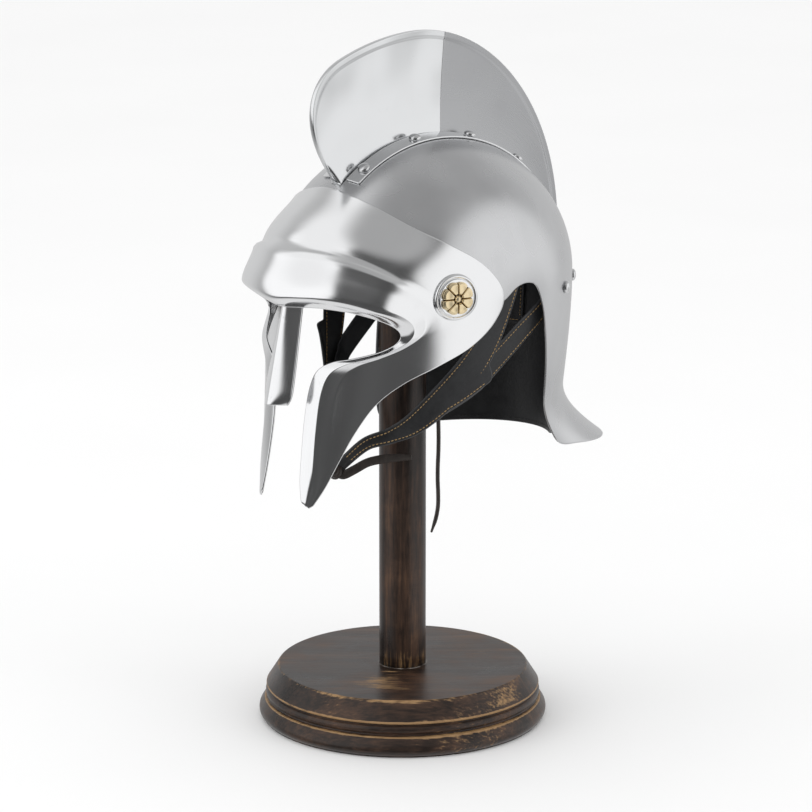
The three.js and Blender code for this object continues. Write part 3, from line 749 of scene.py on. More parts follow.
# Half of the face guard, from the brow's middle to the chin tip. Columns: bearing and level
# of the opening's edge, bearing and level of the outer edge, share of the brow's bulge.
GUARD_RAILS = [
    [0, -0.01, 0, 0.5, 1],
    [9, 0, 12, 0.49, 1],
    [18, 0.005, 24, 0.46, 0.97],
    [28, -0.005, 37, 0.41, 0.88],
    [38, -0.04, 52, 0.33, 0.66],
    [45, -0.085, 66, 0.25, 0.36],
    [47.5, -0.13, 79, 0.15, 0.12],
    [45.5, -0.175, 86.5, 0.02, 0.02],
    [39, -0.215, 83, -0.1, 0],
    [30, -0.245, 74, -0.205, 0],
    [21, -0.27, 62, -0.285, 0],
    [14.5, -0.32, 50, -0.36, 0],
    [11.5, -0.42, 40.5, -0.46, 0],
    [11, -0.56, 34, -0.6, 0],
    [12, -0.7, 29.8, -0.74, 0],
    [14, -0.84, 26.3, -0.87, 0],
    [17.5, -0.95, 22.5, -0.965, 0],
]
GUARD_TIP = 0.985
GUARD_TIP_EDGE = 0.55
TEMPLE_SHARES = (0.66, 0.7)


def guard_offset(bulge, w, reach):
    """Offset of the guard's outer face: the brow's bulge falls in a slope, a step and a fade,
    less a lip at its lower edge, and the cheek's margin is a ridge one fold's width in."""
    slope = BROW_SLOPE * ease(w, 0.2 * STEP_START, STEP_START)
    step = BROW_STEP * ease(w, STEP_START, STEP_END)
    tier = 1 - slope - step - BROW_FADE * ease(w, STEP_END, 1)
    lip = 2 * BROW_LIP * (1 - ease(w * reach, -BROW_LIP_WIDTH, BROW_LIP_WIDTH))
    fold = np.maximum(1 - np.abs(w * reach - FOLD_WIDTH) / FOLD_WIDTH, 0)
    margin = FOLD_RISE * fold * (1 - ease(w, 0.3, 0.9))
    return SEAT_GAP + GUARD_WALL + bulge * (BROW_BULGE * tier - lip) + (1 - bulge) * margin


def guard_at(s, w, to_fold=False):
    """Bearing, level and offset of the guard's outer face. With to_fold the rows are drawn
    together so that the shares 0.3 and 0.6 follow the margin's ridge and its inner foot."""
    side = np.where(s < 0.5, -1, 1)
    share = np.abs(2 * s - 1)
    table = np.array(GUARD_RAILS)
    row = along(table, share, table[1] * [-1, 1, -1, 1, 1])
    closing = (1 - GUARD_TIP_EDGE) * ease(share, GUARD_TIP, 2 - GUARD_TIP)
    inner_bearing = lerp(row[..., 0], row[..., 2], closing)
    outer_bearing = lerp(row[..., 2], row[..., 0], closing)
    inner = skin(inner_bearing, row[..., 1])
    reach = np.linalg.norm(inner - skin(outer_bearing, row[..., 3]), axis=-1)
    if to_fold:
        ridge = np.minimum(FOLD_WIDTH / reach, 0.3)
        low = np.where(w < 0.3, w / 0.3 * ridge, ridge + (w - 0.3) / 0.3 * ridge)
        w = np.where(w < 0.6, low, 2 * ridge + (w - 0.6) / 0.4 * (1 - 2 * ridge))
    bearing = side * lerp(inner_bearing, outer_bearing, w)
    level = lerp(row[..., 1], row[..., 3], w)
    return bearing, level, guard_offset(np.maximum(row[..., 4], 0), w, reach)


def guard_plate(material):
    """Face guard: one plate from chin tip to chin tip, over the temples and the brow."""
    s, w = grid(lines(480, 0.0008), lines(56, 0.006))
    bearing, level, offset = guard_at(s, w, to_fold=True)
    outer = off_skin(bearing, level, offset)
    inner = off_skin(bearing, level, offset - GUARD_WALL)
    plate(
        "guard_plate", outer, inner, material, ["face_guard"], uv=spans(outer),
        overhang=0.7,
    )


def guard_offset_at(bearing, level):
    """Offset of the guard at a bearing and level near the left temple: eight Newton steps for
    the shares that lead there, from those of the temple's middle."""
    step = 1e-4
    s, w = (np.full(np.shape(bearing), share) for share in TEMPLE_SHARES)
    for _ in range(8):
        here, onward, across = guard_at(s, w), guard_at(s + step, w), guard_at(s, w + step)
        a, b = (onward[0] - here[0]) / step, (across[0] - here[0]) / step
        c, d = (onward[1] - here[1]) / step, (across[1] - here[1]) / step
        miss, short = bearing - here[0], level - here[1]
        area = a * d - b * c
        s, w = s + (d * miss - b * short) / area, w + (a * short - c * miss) / area
    return guard_at(s, w)[2]


def nasal_bar(material):
    """Nose guard: a bar that falls back to its sides as the distance from its middle to a
    power, leaning forward as it goes down and rounded at its tip."""
    root = off_skin(0.0, GUARD_RAILS[0][1], BROW_BULGE - BROW_LIP)
    s, w = grid(lines(40, 0.008), lines(90, 0.003))
    across = 2 * s - 1
    fall = w * (NASAL_LENGTH + NASAL_TUCK) - NASAL_TUCK
    down = np.maximum(fall, 0) / NASAL_LENGTH
    rounding = np.sqrt(1 - NASAL_TIP * (2 * ease(down, 0.8, 1.2)) ** 2)
    width = lerp(NASAL_TOP_WIDTH, NASAL_WIDTH, ease(down, -0.3, 1)) * rounding
    back = NASAL_RIDGE * np.abs(across) ** NASAL_RIDGE_POWER
    face = np.stack([width / 2 * across, root[1] - NASAL_LEAN * down + back, root[2] - fall], -1)
    inner = face + [0, NASAL_WALL, 0]
    uv = np.swapaxes(spans(np.swapaxes(face, 0, 1)), 0, 1)
    plate("nasal_bar", face, inner, material, ["nasal_guard"], uv=uv, overhang=0.7)


def over_bowl(swing, x, offset):
    """Point off the bowl near its middle plane, on the ellipsoid, along its normal."""
    swing, x, offset = np.broadcast_arrays(*(np.asarray(v, float) for v in (swing, x, offset)))
    lean = np.degrees(np.arcsin(x / BOWL_HALF_WIDTH))
    reach = np.where(swing < 90, BOWL_FRONT, BOWL_BACK)
    back, up = -reach * cosine(lean) * cosine(swing), BOWL_RISE * cosine(lean) * sine(swing)
    point = np.stack([x, BOWL_SETBACK + back, EAR_LINE + up], -1)
    normal = np.stack([x / BOWL_HALF_WIDTH**2, back / reach**2, up / BOWL_RISE**2], -1)
    return point + unit(normal) * offset[..., None]


def crest_rise(s):
    """Height of the crest: a rounded nose, a long fall and a rounded heel."""
    ahead = (1 - np.minimum(s / CREST_NOSE, 1)) ** CREST_NOSE_POWER
    nose = (1 - ahead) ** (1 / CREST_NOSE_POWER)
    behind = (1 - np.minimum((1 - s) / CREST_HEEL, 1)) ** 2
    heel = 1 - CREST_HEEL_DEPTH * (1 - np.sqrt(1 - behind))
    fall = 1 - (1 - CREST_TAIL) * ease(s, *CREST_FALL)
    return CREST_HEIGHT * np.minimum(nose, heel) * fall


def crest_blade(name, start, end, thinning, material, replaces):
    """One plate of the crest: its thickness falls from the foot to the edge as the height to
    a power, and swells again into a rolled rim, where the rows lie closer."""
    overhang = 0.3
    share, w = grid(lines(150, 0.004), np.unique(np.r_[lines(50, 0.006), lines(60)[50:]]))
    s = lerp(start, end, share)
    height = crest_rise(s)
    body = CREST_EDGE + (CREST_FOOT - CREST_EDGE) * (1 - w) ** CREST_THINNING
    from_rim = (1 - w) * height
    rim = (CREST_BEAD - CREST_EDGE) * (1 - ease(from_rim, CREST_BEAD_WIDTH, 1.6 * CREST_BEAD_WIDTH))
    swing = lerp(CREST_START, CREST_END, s)
    foot = over_bowl(swing, 0, SEAT_GAP)
    tip = over_bowl(swing, 0, SEAT_GAP + np.maximum(height, 1) - overhang)
    middle = lerp(foot, tip, w[..., None])
    side = np.stack([thinning * (body + rim) / 2, 0 * w, 0 * w], -1)
    plate(name, middle + side, middle - side, material, replaces, overhang, uv=spans(middle))


def crest_blades(front, rear):
    """Front and rear plate of the crest, parted by half the seam's gap on either side."""
    seam = CREST_SEAM_GAP / 2 / (BOWL_RISE * math.radians(CREST_END - CREST_START))
    crest_blade("crest_blade_front", 0, CREST_SEAM - seam, 1, front, ["crest_front"])
    crest_blade(
        "crest_blade_rear", CREST_SEAM + seam, 1, CREST_REAR_THINNING, rear,
        ["crest_rear"],
    )


FLANGE_INNER = CREST_FOOT / 2 + FLANGE_GAP


def flange_strip(label, side, material):
    """Strip that holds the crest's foot, at a fixed distance from the middle plane."""
    s, w = grid(lines(220, 0.003), lines(12, 0.04))
    swing = lerp(CREST_START + FLANGE_INSETS[0], CREST_END - FLANGE_INSETS[1], s)
    x = side * (FLANGE_INNER + w * FLANGE_WIDTH)
    outer = over_bowl(swing, x, SEAT_GAP + FLANGE_WALL)
    inner = over_bowl(swing, x, SEAT_GAP)
    plate(
        f"flange_strip_{label}", outer, inner, material, [f"crest_flange_{label}"],
        uv=spans(outer), overhang=0.4,
    )


def on_temple(side, right, up, offset):
    """Point off the face guard, moved right and up along it from the temple's middle."""
    step = skin(TEMPLE_ANGLE + 1, TEMPLE_HEIGHT) - skin(TEMPLE_ANGLE, TEMPLE_HEIGHT)
    bearing = TEMPLE_ANGLE + right / np.linalg.norm(step)
    level = TEMPLE_HEIGHT + up / (BOWL_RISE * math.pi / 2)
    return off_skin(side * bearing, level, guard_offset_at(bearing, level) + offset)


def disc(name, side, radius_at, height_at, lift, material, replaces):
    """Round piece on the temple: radius_at(angle) * share out, height_at(angle, share) up."""
    s, w = grid(np.arange(240) / 240, lines(44, 0.006))
    angle = 360 * s
    share = 1 - w
    height = height_at(angle, share)
    out = radius_at(angle) * share
    right, up = out * cosine(angle), out * sine(angle)
    outer = on_temple(side, right, up, lift + height)
    inner = on_temple(side, right, up, lift + 0 * height)
    plate(
        name, outer, inner, material, replaces, ring=True, pole=True, overhang=0.25,
        values={"height": height / ROSETTE_HEIGHT}, uv=np.stack([0.2 * angle, out], -1),
    )


def boss_plate(label, side, material):
    """Round boss: flat, with one turned crease near its rounded rim."""

    def height(_, share):
        crease = np.exp(-(((share - 0.83) / 0.03) ** 2))
        return BOSS_WALL * (1 - 0.5 * crease - 0.6 * ease(share, 0.88, 1) ** 2)

    disc(
        f"boss_plate_{label}", side, lambda angle: BOSS_RADIUS + 0 * angle, height, SEAT_GAP, material,
        [f"temple_boss_{label}"],
    )


def rosette_flower(label, side, material):
    """Flower of broad flat petals round a button. The lines between petals are a fixed width,
    measured as share * radius * the sine across a petal, and each petal ends in a round."""

    def petal(angle):  # 0 on a line between petals, 1 in a petal's middle
        return np.abs(sine(angle * PETALS / 2))

    def outline(angle):
        return ROSETTE_RADIUS * (0.86 + 0.14 * np.sqrt(petal(angle)))

    def height(angle, share):
        from_line = ROSETTE_RADIUS * share * petal(angle) * 2 / PETALS
        leaf = 0.3 + 0.5 * ease(from_line, 0.1, 0.75) - 0.25 * ease(share, 0.86, 1)
        leaf = leaf - 0.12 * np.exp(-(((share - 0.68) / 0.2) ** 2)) * petal(angle)
        ditch = np.exp(-(((share - 0.27) / 0.035) ** 2))
        button = 0.25 + 0.7 * np.sqrt(np.clip(1 - (share / 0.22) ** 2, 0, 1))
        return ROSETTE_HEIGHT * np.where(share < 0.24, button, leaf * (1 - 0.6 * ditch))

    disc(
        f"rosette_flower_{label}", side, outline, height, 2 * SEAT_GAP + BOSS_WALL, material,
        [f"rosette_{label}"],
    )


def stud(name, foot, normal, material, replaces):
    """Domed rivet head on a normal: a rounded foot, a straight quarter of the rivet's height,
    and an elliptic dome over it."""
    profile = np.concatenate(
        [
            [[0, 0], [RIVET_RADIUS - 0.3, 0]],
            arc((RIVET_RADIUS - 0.3, 0.3), 0.3, -90, 0, 5),
            [
                [RIVET_RADIUS * math.cos(t), 0.25 * RIVET_HEIGHT + 0.75 * RIVET_HEIGHT * math.sin(t)]
                for t in np.linspace(0, math.pi / 2, 18)
            ],
        ]
    )
    normal = unit(np.asarray(normal))
    side = unit(np.cross(normal, [0, 1, 0.3]))
    other = np.cross(normal, side)
    angle = 2 * math.pi * np.arange(40) / 40
    round_it = np.cos(angle)[:, None] * side + np.sin(angle)[:, None] * other
    foot = np.asarray(foot) + normal * SEAT_GAP
    points = foot + round_it[:, None] * profile[None, :, :1] + normal * profile[None, :, 1:]
    ids = numbers(points)
    uv = np.broadcast_to(profile, (*ids.shape, 2))
    piece(name, points, tube_faces(ids), material, replaces, uv=uv)


# Straps and curtain


def inside(layer):
    """Offset of a leather layer's middle inside the bowl."""
    return -(BOWL_WALL + CURTAIN_GAP + LEATHER / 2 + layer * (LEATHER + CURTAIN_GAP))


def anchor(bearing, level, layer):
    """Point of a strap's middle line where it lies inside the bowl."""
    return off_skin(float(bearing), float(level), inside(layer))


CHIN_FORWARD = 0.55
CHIN_DROP = 0.875
KNOT_CENTRE = np.array([0, -CHIN_FORWARD * BOWL_FRONT, EAR_LINE - CHIN_DROP * FACE_DROP])

# Columns: x as a share of the bowl's half width, y as a share of its front reach, z as a
# share of the drop below the ear line, width as a share of the strap's, bearing, tilt
STRAP_RUN = [
    [0.88, 0.064, -0.19, 1, 86, 0],
    [0.79, -0.02, -0.345, 1.02, 80, 0],
    [0.65, -0.14, -0.497, 0.92, 72, 0],
    [0.49, -0.265, -0.627, 0.7, 62, 0],
    [0.34, -0.345, -0.69, 0.5, 54, -2],
    [0.2, -0.45, -0.735, 0.4, 48, -4],
]

# Columns: share of the strap's run, depth in layers, shift across as a share of the strap's
# width, width as a share of the arm's
ARM_LAP = [
    [0.38, 1.5, -0.64, 1],
    [0.43, 1.1, -0.49, 0.96],
    [0.48, 1.1, -0.36, 0.9],
    [0.525, 1.1, -0.25, 0.82],
]


def strap_frame(table, s):
    """Middle, width, direction across, direction out of the face and direction along a strap
    at shares of its run."""
    s = np.asarray(s, float)
    row = along(table, s)
    run = unit(along(table, s + 0.01)[..., :3] - along(table, s - 0.01)[..., :3])
    bearing, tilt = row[..., 4], row[..., 5]
    face = np.stack([sine(bearing) * cosine(tilt), -cosine(bearing) * cosine(tilt), sine(tilt)], -1)
    across = unit(np.cross(run, face))
    return row[..., :3], row[..., 3], across, unit(np.cross(across, run)), run


def strap_table(hold=KNOT_HOLD):
    """Rows of the left strap: two under the bowl, its free run, and its end at the knot."""
    run = np.array(STRAP_RUN, float)
    free = run * [BOWL_HALF_WIDTH, BOWL_FRONT, FACE_DROP, STRAP_WIDTH, 1, 1] + [0, 0, EAR_LINE, 0, 0, 0]
    end = KNOT_CENTRE + unit(free[-1, :3] - KNOT_CENTRE) * hold * KNOT_RADIUS
    return np.array(
        [
            [*anchor(95, 0.15, 0), ARM_WIDTH, 93, 16],
            [*anchor(91.5, 0.03, 0), ARM_WIDTH, 91, 4],
            *free,
            [*end, STRAP_END_WIDTH, 46, -4],
        ]
    )


def arm_table():
    """Rows of the left rear arm, from behind the ear arch to where it lies under the strap."""
    rows = [
        [*anchor(140, -0.04, 1), ARM_WIDTH, 137, 0],
        [*anchor(131, -0.02, 1), ARM_WIDTH, 127, 0],
        [*anchor(122, 0.02, 1), ARM_WIDTH, 118, 0],
        [*anchor(115.5, -0.1, 1), ARM_WIDTH, 110, 0],
        [0.81 * BOWL_HALF_WIDTH, 0.36 * BOWL_FRONT, EAR_LINE - 0.23 * FACE_DROP, ARM_WIDTH, 98, 0],
    ]
    for s, layers, shift, share in ARM_LAP:
        middle, width, across, face, _ = strap_frame(strap_table(), s)
        middle = middle - layers * (LEATHER + LEATHER_GAP) * face + shift * width * across
        bearing = math.degrees(math.atan2(face[0], -face[1]))
        tilt = math.degrees(math.asin(face[2]))
        rows.append([*middle, share * ARM_WIDTH, bearing, tilt])
    return np.array(rows)


def on_side(table, side):
    """A left strap's table, mirrored in x and bearing for side -1."""
    return table * [side, 1, 1, 1, side, 1]


FORK_GROWTH = (0.33, 0.385)
FORK_END = 0.6
FORK_INSET = 3
STITCH_INSET = 2.4
STITCH_PITCH = 3
STITCH_LENGTH = 2.4
STITCH_RADIUS = 0.36
STITCH_SINK = 0.12
STITCH_CHANNEL = 0.25


def fork(s):
    """Extra width of the strap's rear side: it grows in the fork until its edge meets that of
    the rear arm, follows it, and falls to nothing along a straight line. The arm's edge is
    taken at the place of the strap's run that it lies square to."""
    share = np.linspace(0.3, 1, 200)
    middle, width, across, _, _ = strap_frame(arm_table(), share)
    edge = middle - across * (width / 2)[:, None]
    near = np.linspace(0.3, FORK_END + 0.02, 400)
    line, wide, sideways, _, run = strap_frame(strap_table(), near)
    miss = np.abs(np.sum((edge[:, None] - line) * run, -1))
    at = miss.argmin(1)
    beyond = -np.sum((edge - line[at]) * sideways[at], -1) - wide[at] / 2
    square_to = miss.min(1) < 1
    places, beyond = near[at][square_to], beyond[square_to]
    spread = np.interp(s, [*places, FORK_END], [*beyond, 0])
    return np.maximum(spread - FORK_INSET, 0) * ease(s, *FORK_GROWTH)


def band(name, table, wall, material, replaces, columns, channel=0.0, crown=0.3, spread=None):
    """Flat strap: the middle line + across * width + out of the face * half the wall. Each
    face has a channel where the stitches lie, the strap is crowned across its width, and
    spread adds width at one side along the run."""
    s, w = grid(lines(columns, 0.003), lines(28, 0.02))
    middle, width, across, face, _ = strap_frame(table, s)
    if spread is not None:
        middle = middle - across * (spread(s) / 2)[..., None]
        width = width + spread(s)
    from_edge = np.minimum(w, 1 - w) * width
    groove = channel * np.exp(-(((from_edge - STITCH_INSET) / 0.7) ** 2))
    worn = 0.25 * wall * (1 - ease(from_edge, 0, 1.2))
    thick = (wall / 2 - groove - worn)[..., None]
    bow = crown * (1 - (2 * w - 1) ** 2)
    line = middle + across * ((w - 0.5) * width)[..., None] + face * bow[..., None]
    plate(
        name, line + face * thick, line - face * thick, material, replaces, overhang=0.35,
        values={"edge": 1 - ease(from_edge, 0, 1.6)},
    )


def stitches(name, rows, material):
    """Thread that dips through the leather: along each row, given as points and directions
    out of the leather, short rounded lengths one pitch apart. A stitch is a ring carried over
    a half sine and drawn to a point at both ends."""
    blocks, faces, total = [], [], 0
    sides, steps = 8, 7
    t = np.linspace(0, 1, steps)
    swell = np.sqrt(np.clip(1 - (2 * t - 1) ** 4, 0, 1)) * STITCH_RADIUS
    angle = 2 * math.pi * np.arange(sides) / sides
    pattern = tube_faces(np.arange(sides * steps).reshape(sides, steps))
    for path, out in rows:
        length = lengths(path)
        starts = np.arange(0.5 * STITCH_PITCH, length[-1] - STITCH_LENGTH, STITCH_PITCH)
        here = starts[:, None] + t * STITCH_LENGTH
        centre = np.stack([np.interp(here, length, path[:, k]) for k in range(3)], -1)
        normal = unit(np.stack([np.interp(here, length, out[:, k]) for k in range(3)], -1))
        run = unit(centre[:, -1:] - centre[:, :1])
        side = np.cross(normal, run)
        rise = (0.55 * STITCH_RADIUS * np.sin(math.pi * t) - 0.1)[None, :, None]
        centre = centre + normal * rise
        ring = (
            np.cos(angle)[None, :, None, None] * side[:, None]
            + np.sin(angle)[None, :, None, None] * normal[:, None]
        )
        points = centre[:, None] + ring * swell[None, None, :, None]
        shift = total + sides * steps * np.arange(len(starts))
        faces += [(f[None] + shift[:, None, None]).reshape(-1, f.shape[1]) for f in pattern]
        blocks.append(points.reshape(-1, 3))
        total += sides * steps * len(starts)
    return piece(name, np.concatenate(blocks), faces, material)


def strap_row(table, edge, start, end, spread=None, sides=(1, -1)):
    """A row of stitches near one edge of a strap, on its outer and inner face."""
    s = np.linspace(start, end, 300)
    middle, width, across, face, _ = strap_frame(table, s)
    reach = width / 2 - STITCH_INSET + (0 if spread is None else spread(s))
    line = middle + across * (edge * reach)[:, None]
    return [(line + face * out * (LEATHER / 2 - STITCH_SINK), face * out) for out in sides]


def strap_and_arm(label, side, hide, thread):
    """Strap and rear arm of one side, and their rows of stitches. Past the fork the strap's
    rear row follows the wider edge."""
    main, arm = on_side(strap_table(KNOT_TUCK), side), on_side(arm_table(), side)
    for name, node, table, columns, spread in (
        ("strap", "strap", main, 200, fork), ("arm", "strap_arm", arm, 140, None)
    ):
        band(
            f"{name}_leather_{label}", table, LEATHER, hide, [f"{node}_{label}"],
            columns, STITCH_CHANNEL, spread=spread,
        )
    fork_end = FORK_GROWTH[1]
    rows = strap_row(main, side, 0.1, 0.95)
    rows += strap_row(main, -side, 0.1, fork_end)
    rows += strap_row(main, -side, fork_end + 0.003, 0.95, fork)
    rows += strap_row(arm, side, 0.1, 0.6, sides=(1,))
    rows += strap_row(arm, -side, 0.1, 0.66, sides=(1,))
    stitches(f"strap_stitches_{label}", rows, thread)


CURTAIN_TOP = 0.02  # level
END_SEAMS = (0.013, 0.987)
HEM_SEAM = 3.2


def curtain_point(s, w, offset):
    """The curtain's grid: bearing round the nape from its left end to its right, and level
    from its top to its lower edge, which rises in a quarter round of its own at either corner.
    Its right end leans forward as it falls."""
    rounding = 0
    for from_end, drop, span in zip((s, 1 - s), CORNER_DROPS, CORNER_SPANS):
        short = 1 - np.minimum(from_end / span, 1)
        rounding = rounding + drop * (1 - np.sqrt(1 - short**2))
    level = lerp(CURTAIN_TOP, rounding - CURTAIN_DROP, w)
    lean = CURTAIN_SWING[1] * np.maximum(-level - CURTAIN_SWING[0], 0)
    bearing = lerp(CURTAIN_ENDS[0], 360 - CURTAIN_ENDS[1] + lean, s)
    return off_skin(bearing, level, offset + 0 * s, 0.0)


def curtain_leather(hide, thread):
    """Leather curtain inside the neck plate, with seams at both ends and along its hem. It
    hangs from the bowl, and its size is taken on its middle surface."""
    outer_at, inner_at = inside(0) + LEATHER / 2, inside(0) - LEATHER / 2
    s, w = grid(lines(190, 0.002), lines(76, 0.006))
    outer, inner = curtain_point(s, w, outer_at), curtain_point(s, w, inner_at)
    middle = curtain_point(s, w, inside(0))
    a, b, c = middle[:-1, :-1], middle[1:, :-1], middle[:-1, 1:]
    area = np.linalg.norm(np.cross(b - a, c - a), axis=-1).sum()
    drop = lengths(middle[len(s) // 2])[-1]
    width = lengths(middle[:, s.shape[1] // 2])[-1]
    reach = spans(middle)
    from_edge = np.minimum(
        np.minimum(reach[..., 0], width - reach[..., 0]), np.minimum(w, 1 - w) * drop
    )
    made = plate(
        "curtain_leather", outer, inner, hide, ["nape_curtain"], overhang=0.35,
        values={"edge": 1 - ease(from_edge, 0, 1.8)},
    )
    rows = []
    for out, offset in ((1, outer_at - 0.1), (-1, inner_at + 0.1)):
        for share in END_SEAMS:
            down = np.linspace(0.04, 0.9, 300)
            at = np.full(300, share)
            near = curtain_point(at, down, offset)
            rows.append((near, curtain_point(at, down, offset + out) - near))
        sides = np.linspace(0.05, 0.95, 600)
        low = np.full(600, 1 - HEM_SEAM / drop)
        near = curtain_point(sides, low, offset)
        rows.append((near, curtain_point(sides, low, offset + out) - near))
    seams = stitches("curtain_stitches", rows, thread)


# Bearing and level of two corners
PATCH_CORNERS = [[-158, -0.12], [-172, -0.36]]


def patch_leather(hide, thread):
    """Small patch sewn inside the curtain."""
    (front, top), (rear, bottom) = PATCH_CORNERS
    outer_at = inside(0) - LEATHER / 2 - LEATHER_GAP
    s, w = grid(lines(40, 0.02), lines(60, 0.02))

    def point(s, w, offset):
        return off_skin(lerp(front, rear, s), lerp(top, bottom, w), offset + 0 * s, 0.0)

    from_edge = np.minimum(np.minimum(s, 1 - s) * PATCH_SIZE[0], np.minimum(w, 1 - w) * PATCH_SIZE[1])
    plate(
        "patch_leather", point(s, w, outer_at), point(s, w, outer_at - PATCH_WALL), hide,
        ["curtain_patch"], overhang=0.3, values={"edge": 1 - ease(from_edge, 0, 1.5)},
    )
    t = np.linspace(0.1, 0.9, 120)
    edges = [(t, 0 * t + 0.07), (t, 0 * t + 0.93), (0 * t + 0.1, t), (0 * t + 0.9, t)]
    offset = outer_at - PATCH_WALL + 0.1
    rows = [(point(a, b, offset), point(a, b, offset - 1) - point(a, b, offset)) for a, b in edges]
    stitches("patch_stitches", rows, thread)


KNOT_TUBE = 2.3
KNOT_RING = 3.35
KNOT_SWING = 1.75
KNOT_DEPTH = 1.55


def knot_leather(material):
    """Tight overhand knot: a trefoil on a torus, flattened to the knot's thickness. Its side
    direction is the torus's own outward normal."""
    t = 2 * math.pi * np.arange(241) / 240
    out, depth = np.cos(3 * t), np.sin(3 * t)
    ring = KNOT_RING + KNOT_SWING * out
    path = np.stack([ring * np.cos(2 * t), KNOT_DEPTH * depth, ring * np.sin(2 * t)], -1)
    side = np.stack([out * np.cos(2 * t), depth, out * np.sin(2 * t)], -1)
    rings = tube(path, np.full(len(t), KNOT_TUBE), side, 20)[:, :-1] + KNOT_CENTRE
    ids = numbers(rings)
    faces = net(np.hstack([ids, ids[:, :1]]), ring=True)
    piece("knot_leather", rings, faces, material, ["chin_knot"])


# Free end of the strap beyond the knot, as shares of its length from the knot's middle
TAIL_RUN = [
    [0.04, 0.02, -0.02],
    [0.1, 0.06, -0.04],
    [0.2, 0.15, 0.03],
    [0.33, 0.28, 0.13],
    [0.51, 0.46, 0.18],
    [0.69, 0.66, 0.19],
]


def tail_leather(material):
    """Free end of the strap below the knot: a flat thong, narrower at its end."""
    points = np.array(TAIL_RUN) * TAIL_LENGTH + KNOT_CENTRE
    count = np.arange(len(points))
    width = TAIL_WIDTH * np.where(count == len(points) - 1, 0.6, 1)
    table = np.column_stack([points, width, 44 + 2 * count, -2 * count])
    band("tail_leather", table, TAIL_WALL, material, ["strap_tail"], 120, 0, 0.2)


# Free end of the tie lace. Columns: sideways, back and up, in millimetres from its exit
LACE_ROUTE = [
    [0, 0, 0],
    [0.2, 0.1, -8],
    [0.3, 0.2, -18],
    [0.1, 0.2, -29],
    [-0.3, 0, -40],
    [-0.2, -0.2, -51],
    [0.5, -0.3, -62],
    [0.6, -0.6, -72],
    [-0.8, -1.6, -82],
    [-4, -3.4, -93.5],
]
LACE_LEAVES = (0.55, -0.45)
LACE_TAPER = 12


def tie_lace(material):
    """Round lace that hangs from behind the left strap, pointed at its free end."""
    middle, width, across, face, _ = strap_frame(strap_table(), LACE_LEAVES[0])
    behind = (LEATHER + LACE_DIAMETER) / 2 + LACE_GAP
    leave = middle - face * behind + across * LACE_LEAVES[1] * width
    path = along(np.array(LACE_ROUTE) + leave, lines(180))
    length = lengths(path)
    to_end = length[-1] - length
    radius = LACE_DIAMETER / 2 * (0.55 + 0.45 * ease(to_end, 0, LACE_TAPER))
    radius[[0, -1]] = 0
    radius[[1, -2]] *= 0.85
    rings = tube(path, radius, [1, 0, 0], 16)
    made = piece("tie_lace", rings, tube_faces(numbers(rings)), material, ["lace"])
    [float(x) for x in leave * MM]
    (path * MM).tolist()


# Stand

# Bearing and spread of the base's rubbed places and of its glue, in degrees
SLOPE_RUB = (97, 17)
TOP_RUB = (30, 26)
GLUE_RING = (62, 75)
# Heights of the slope and radii on the top between which they are rubbed
SLOPE_HEIGHTS = (28, 40)
TOP_RADII = (24, 72)


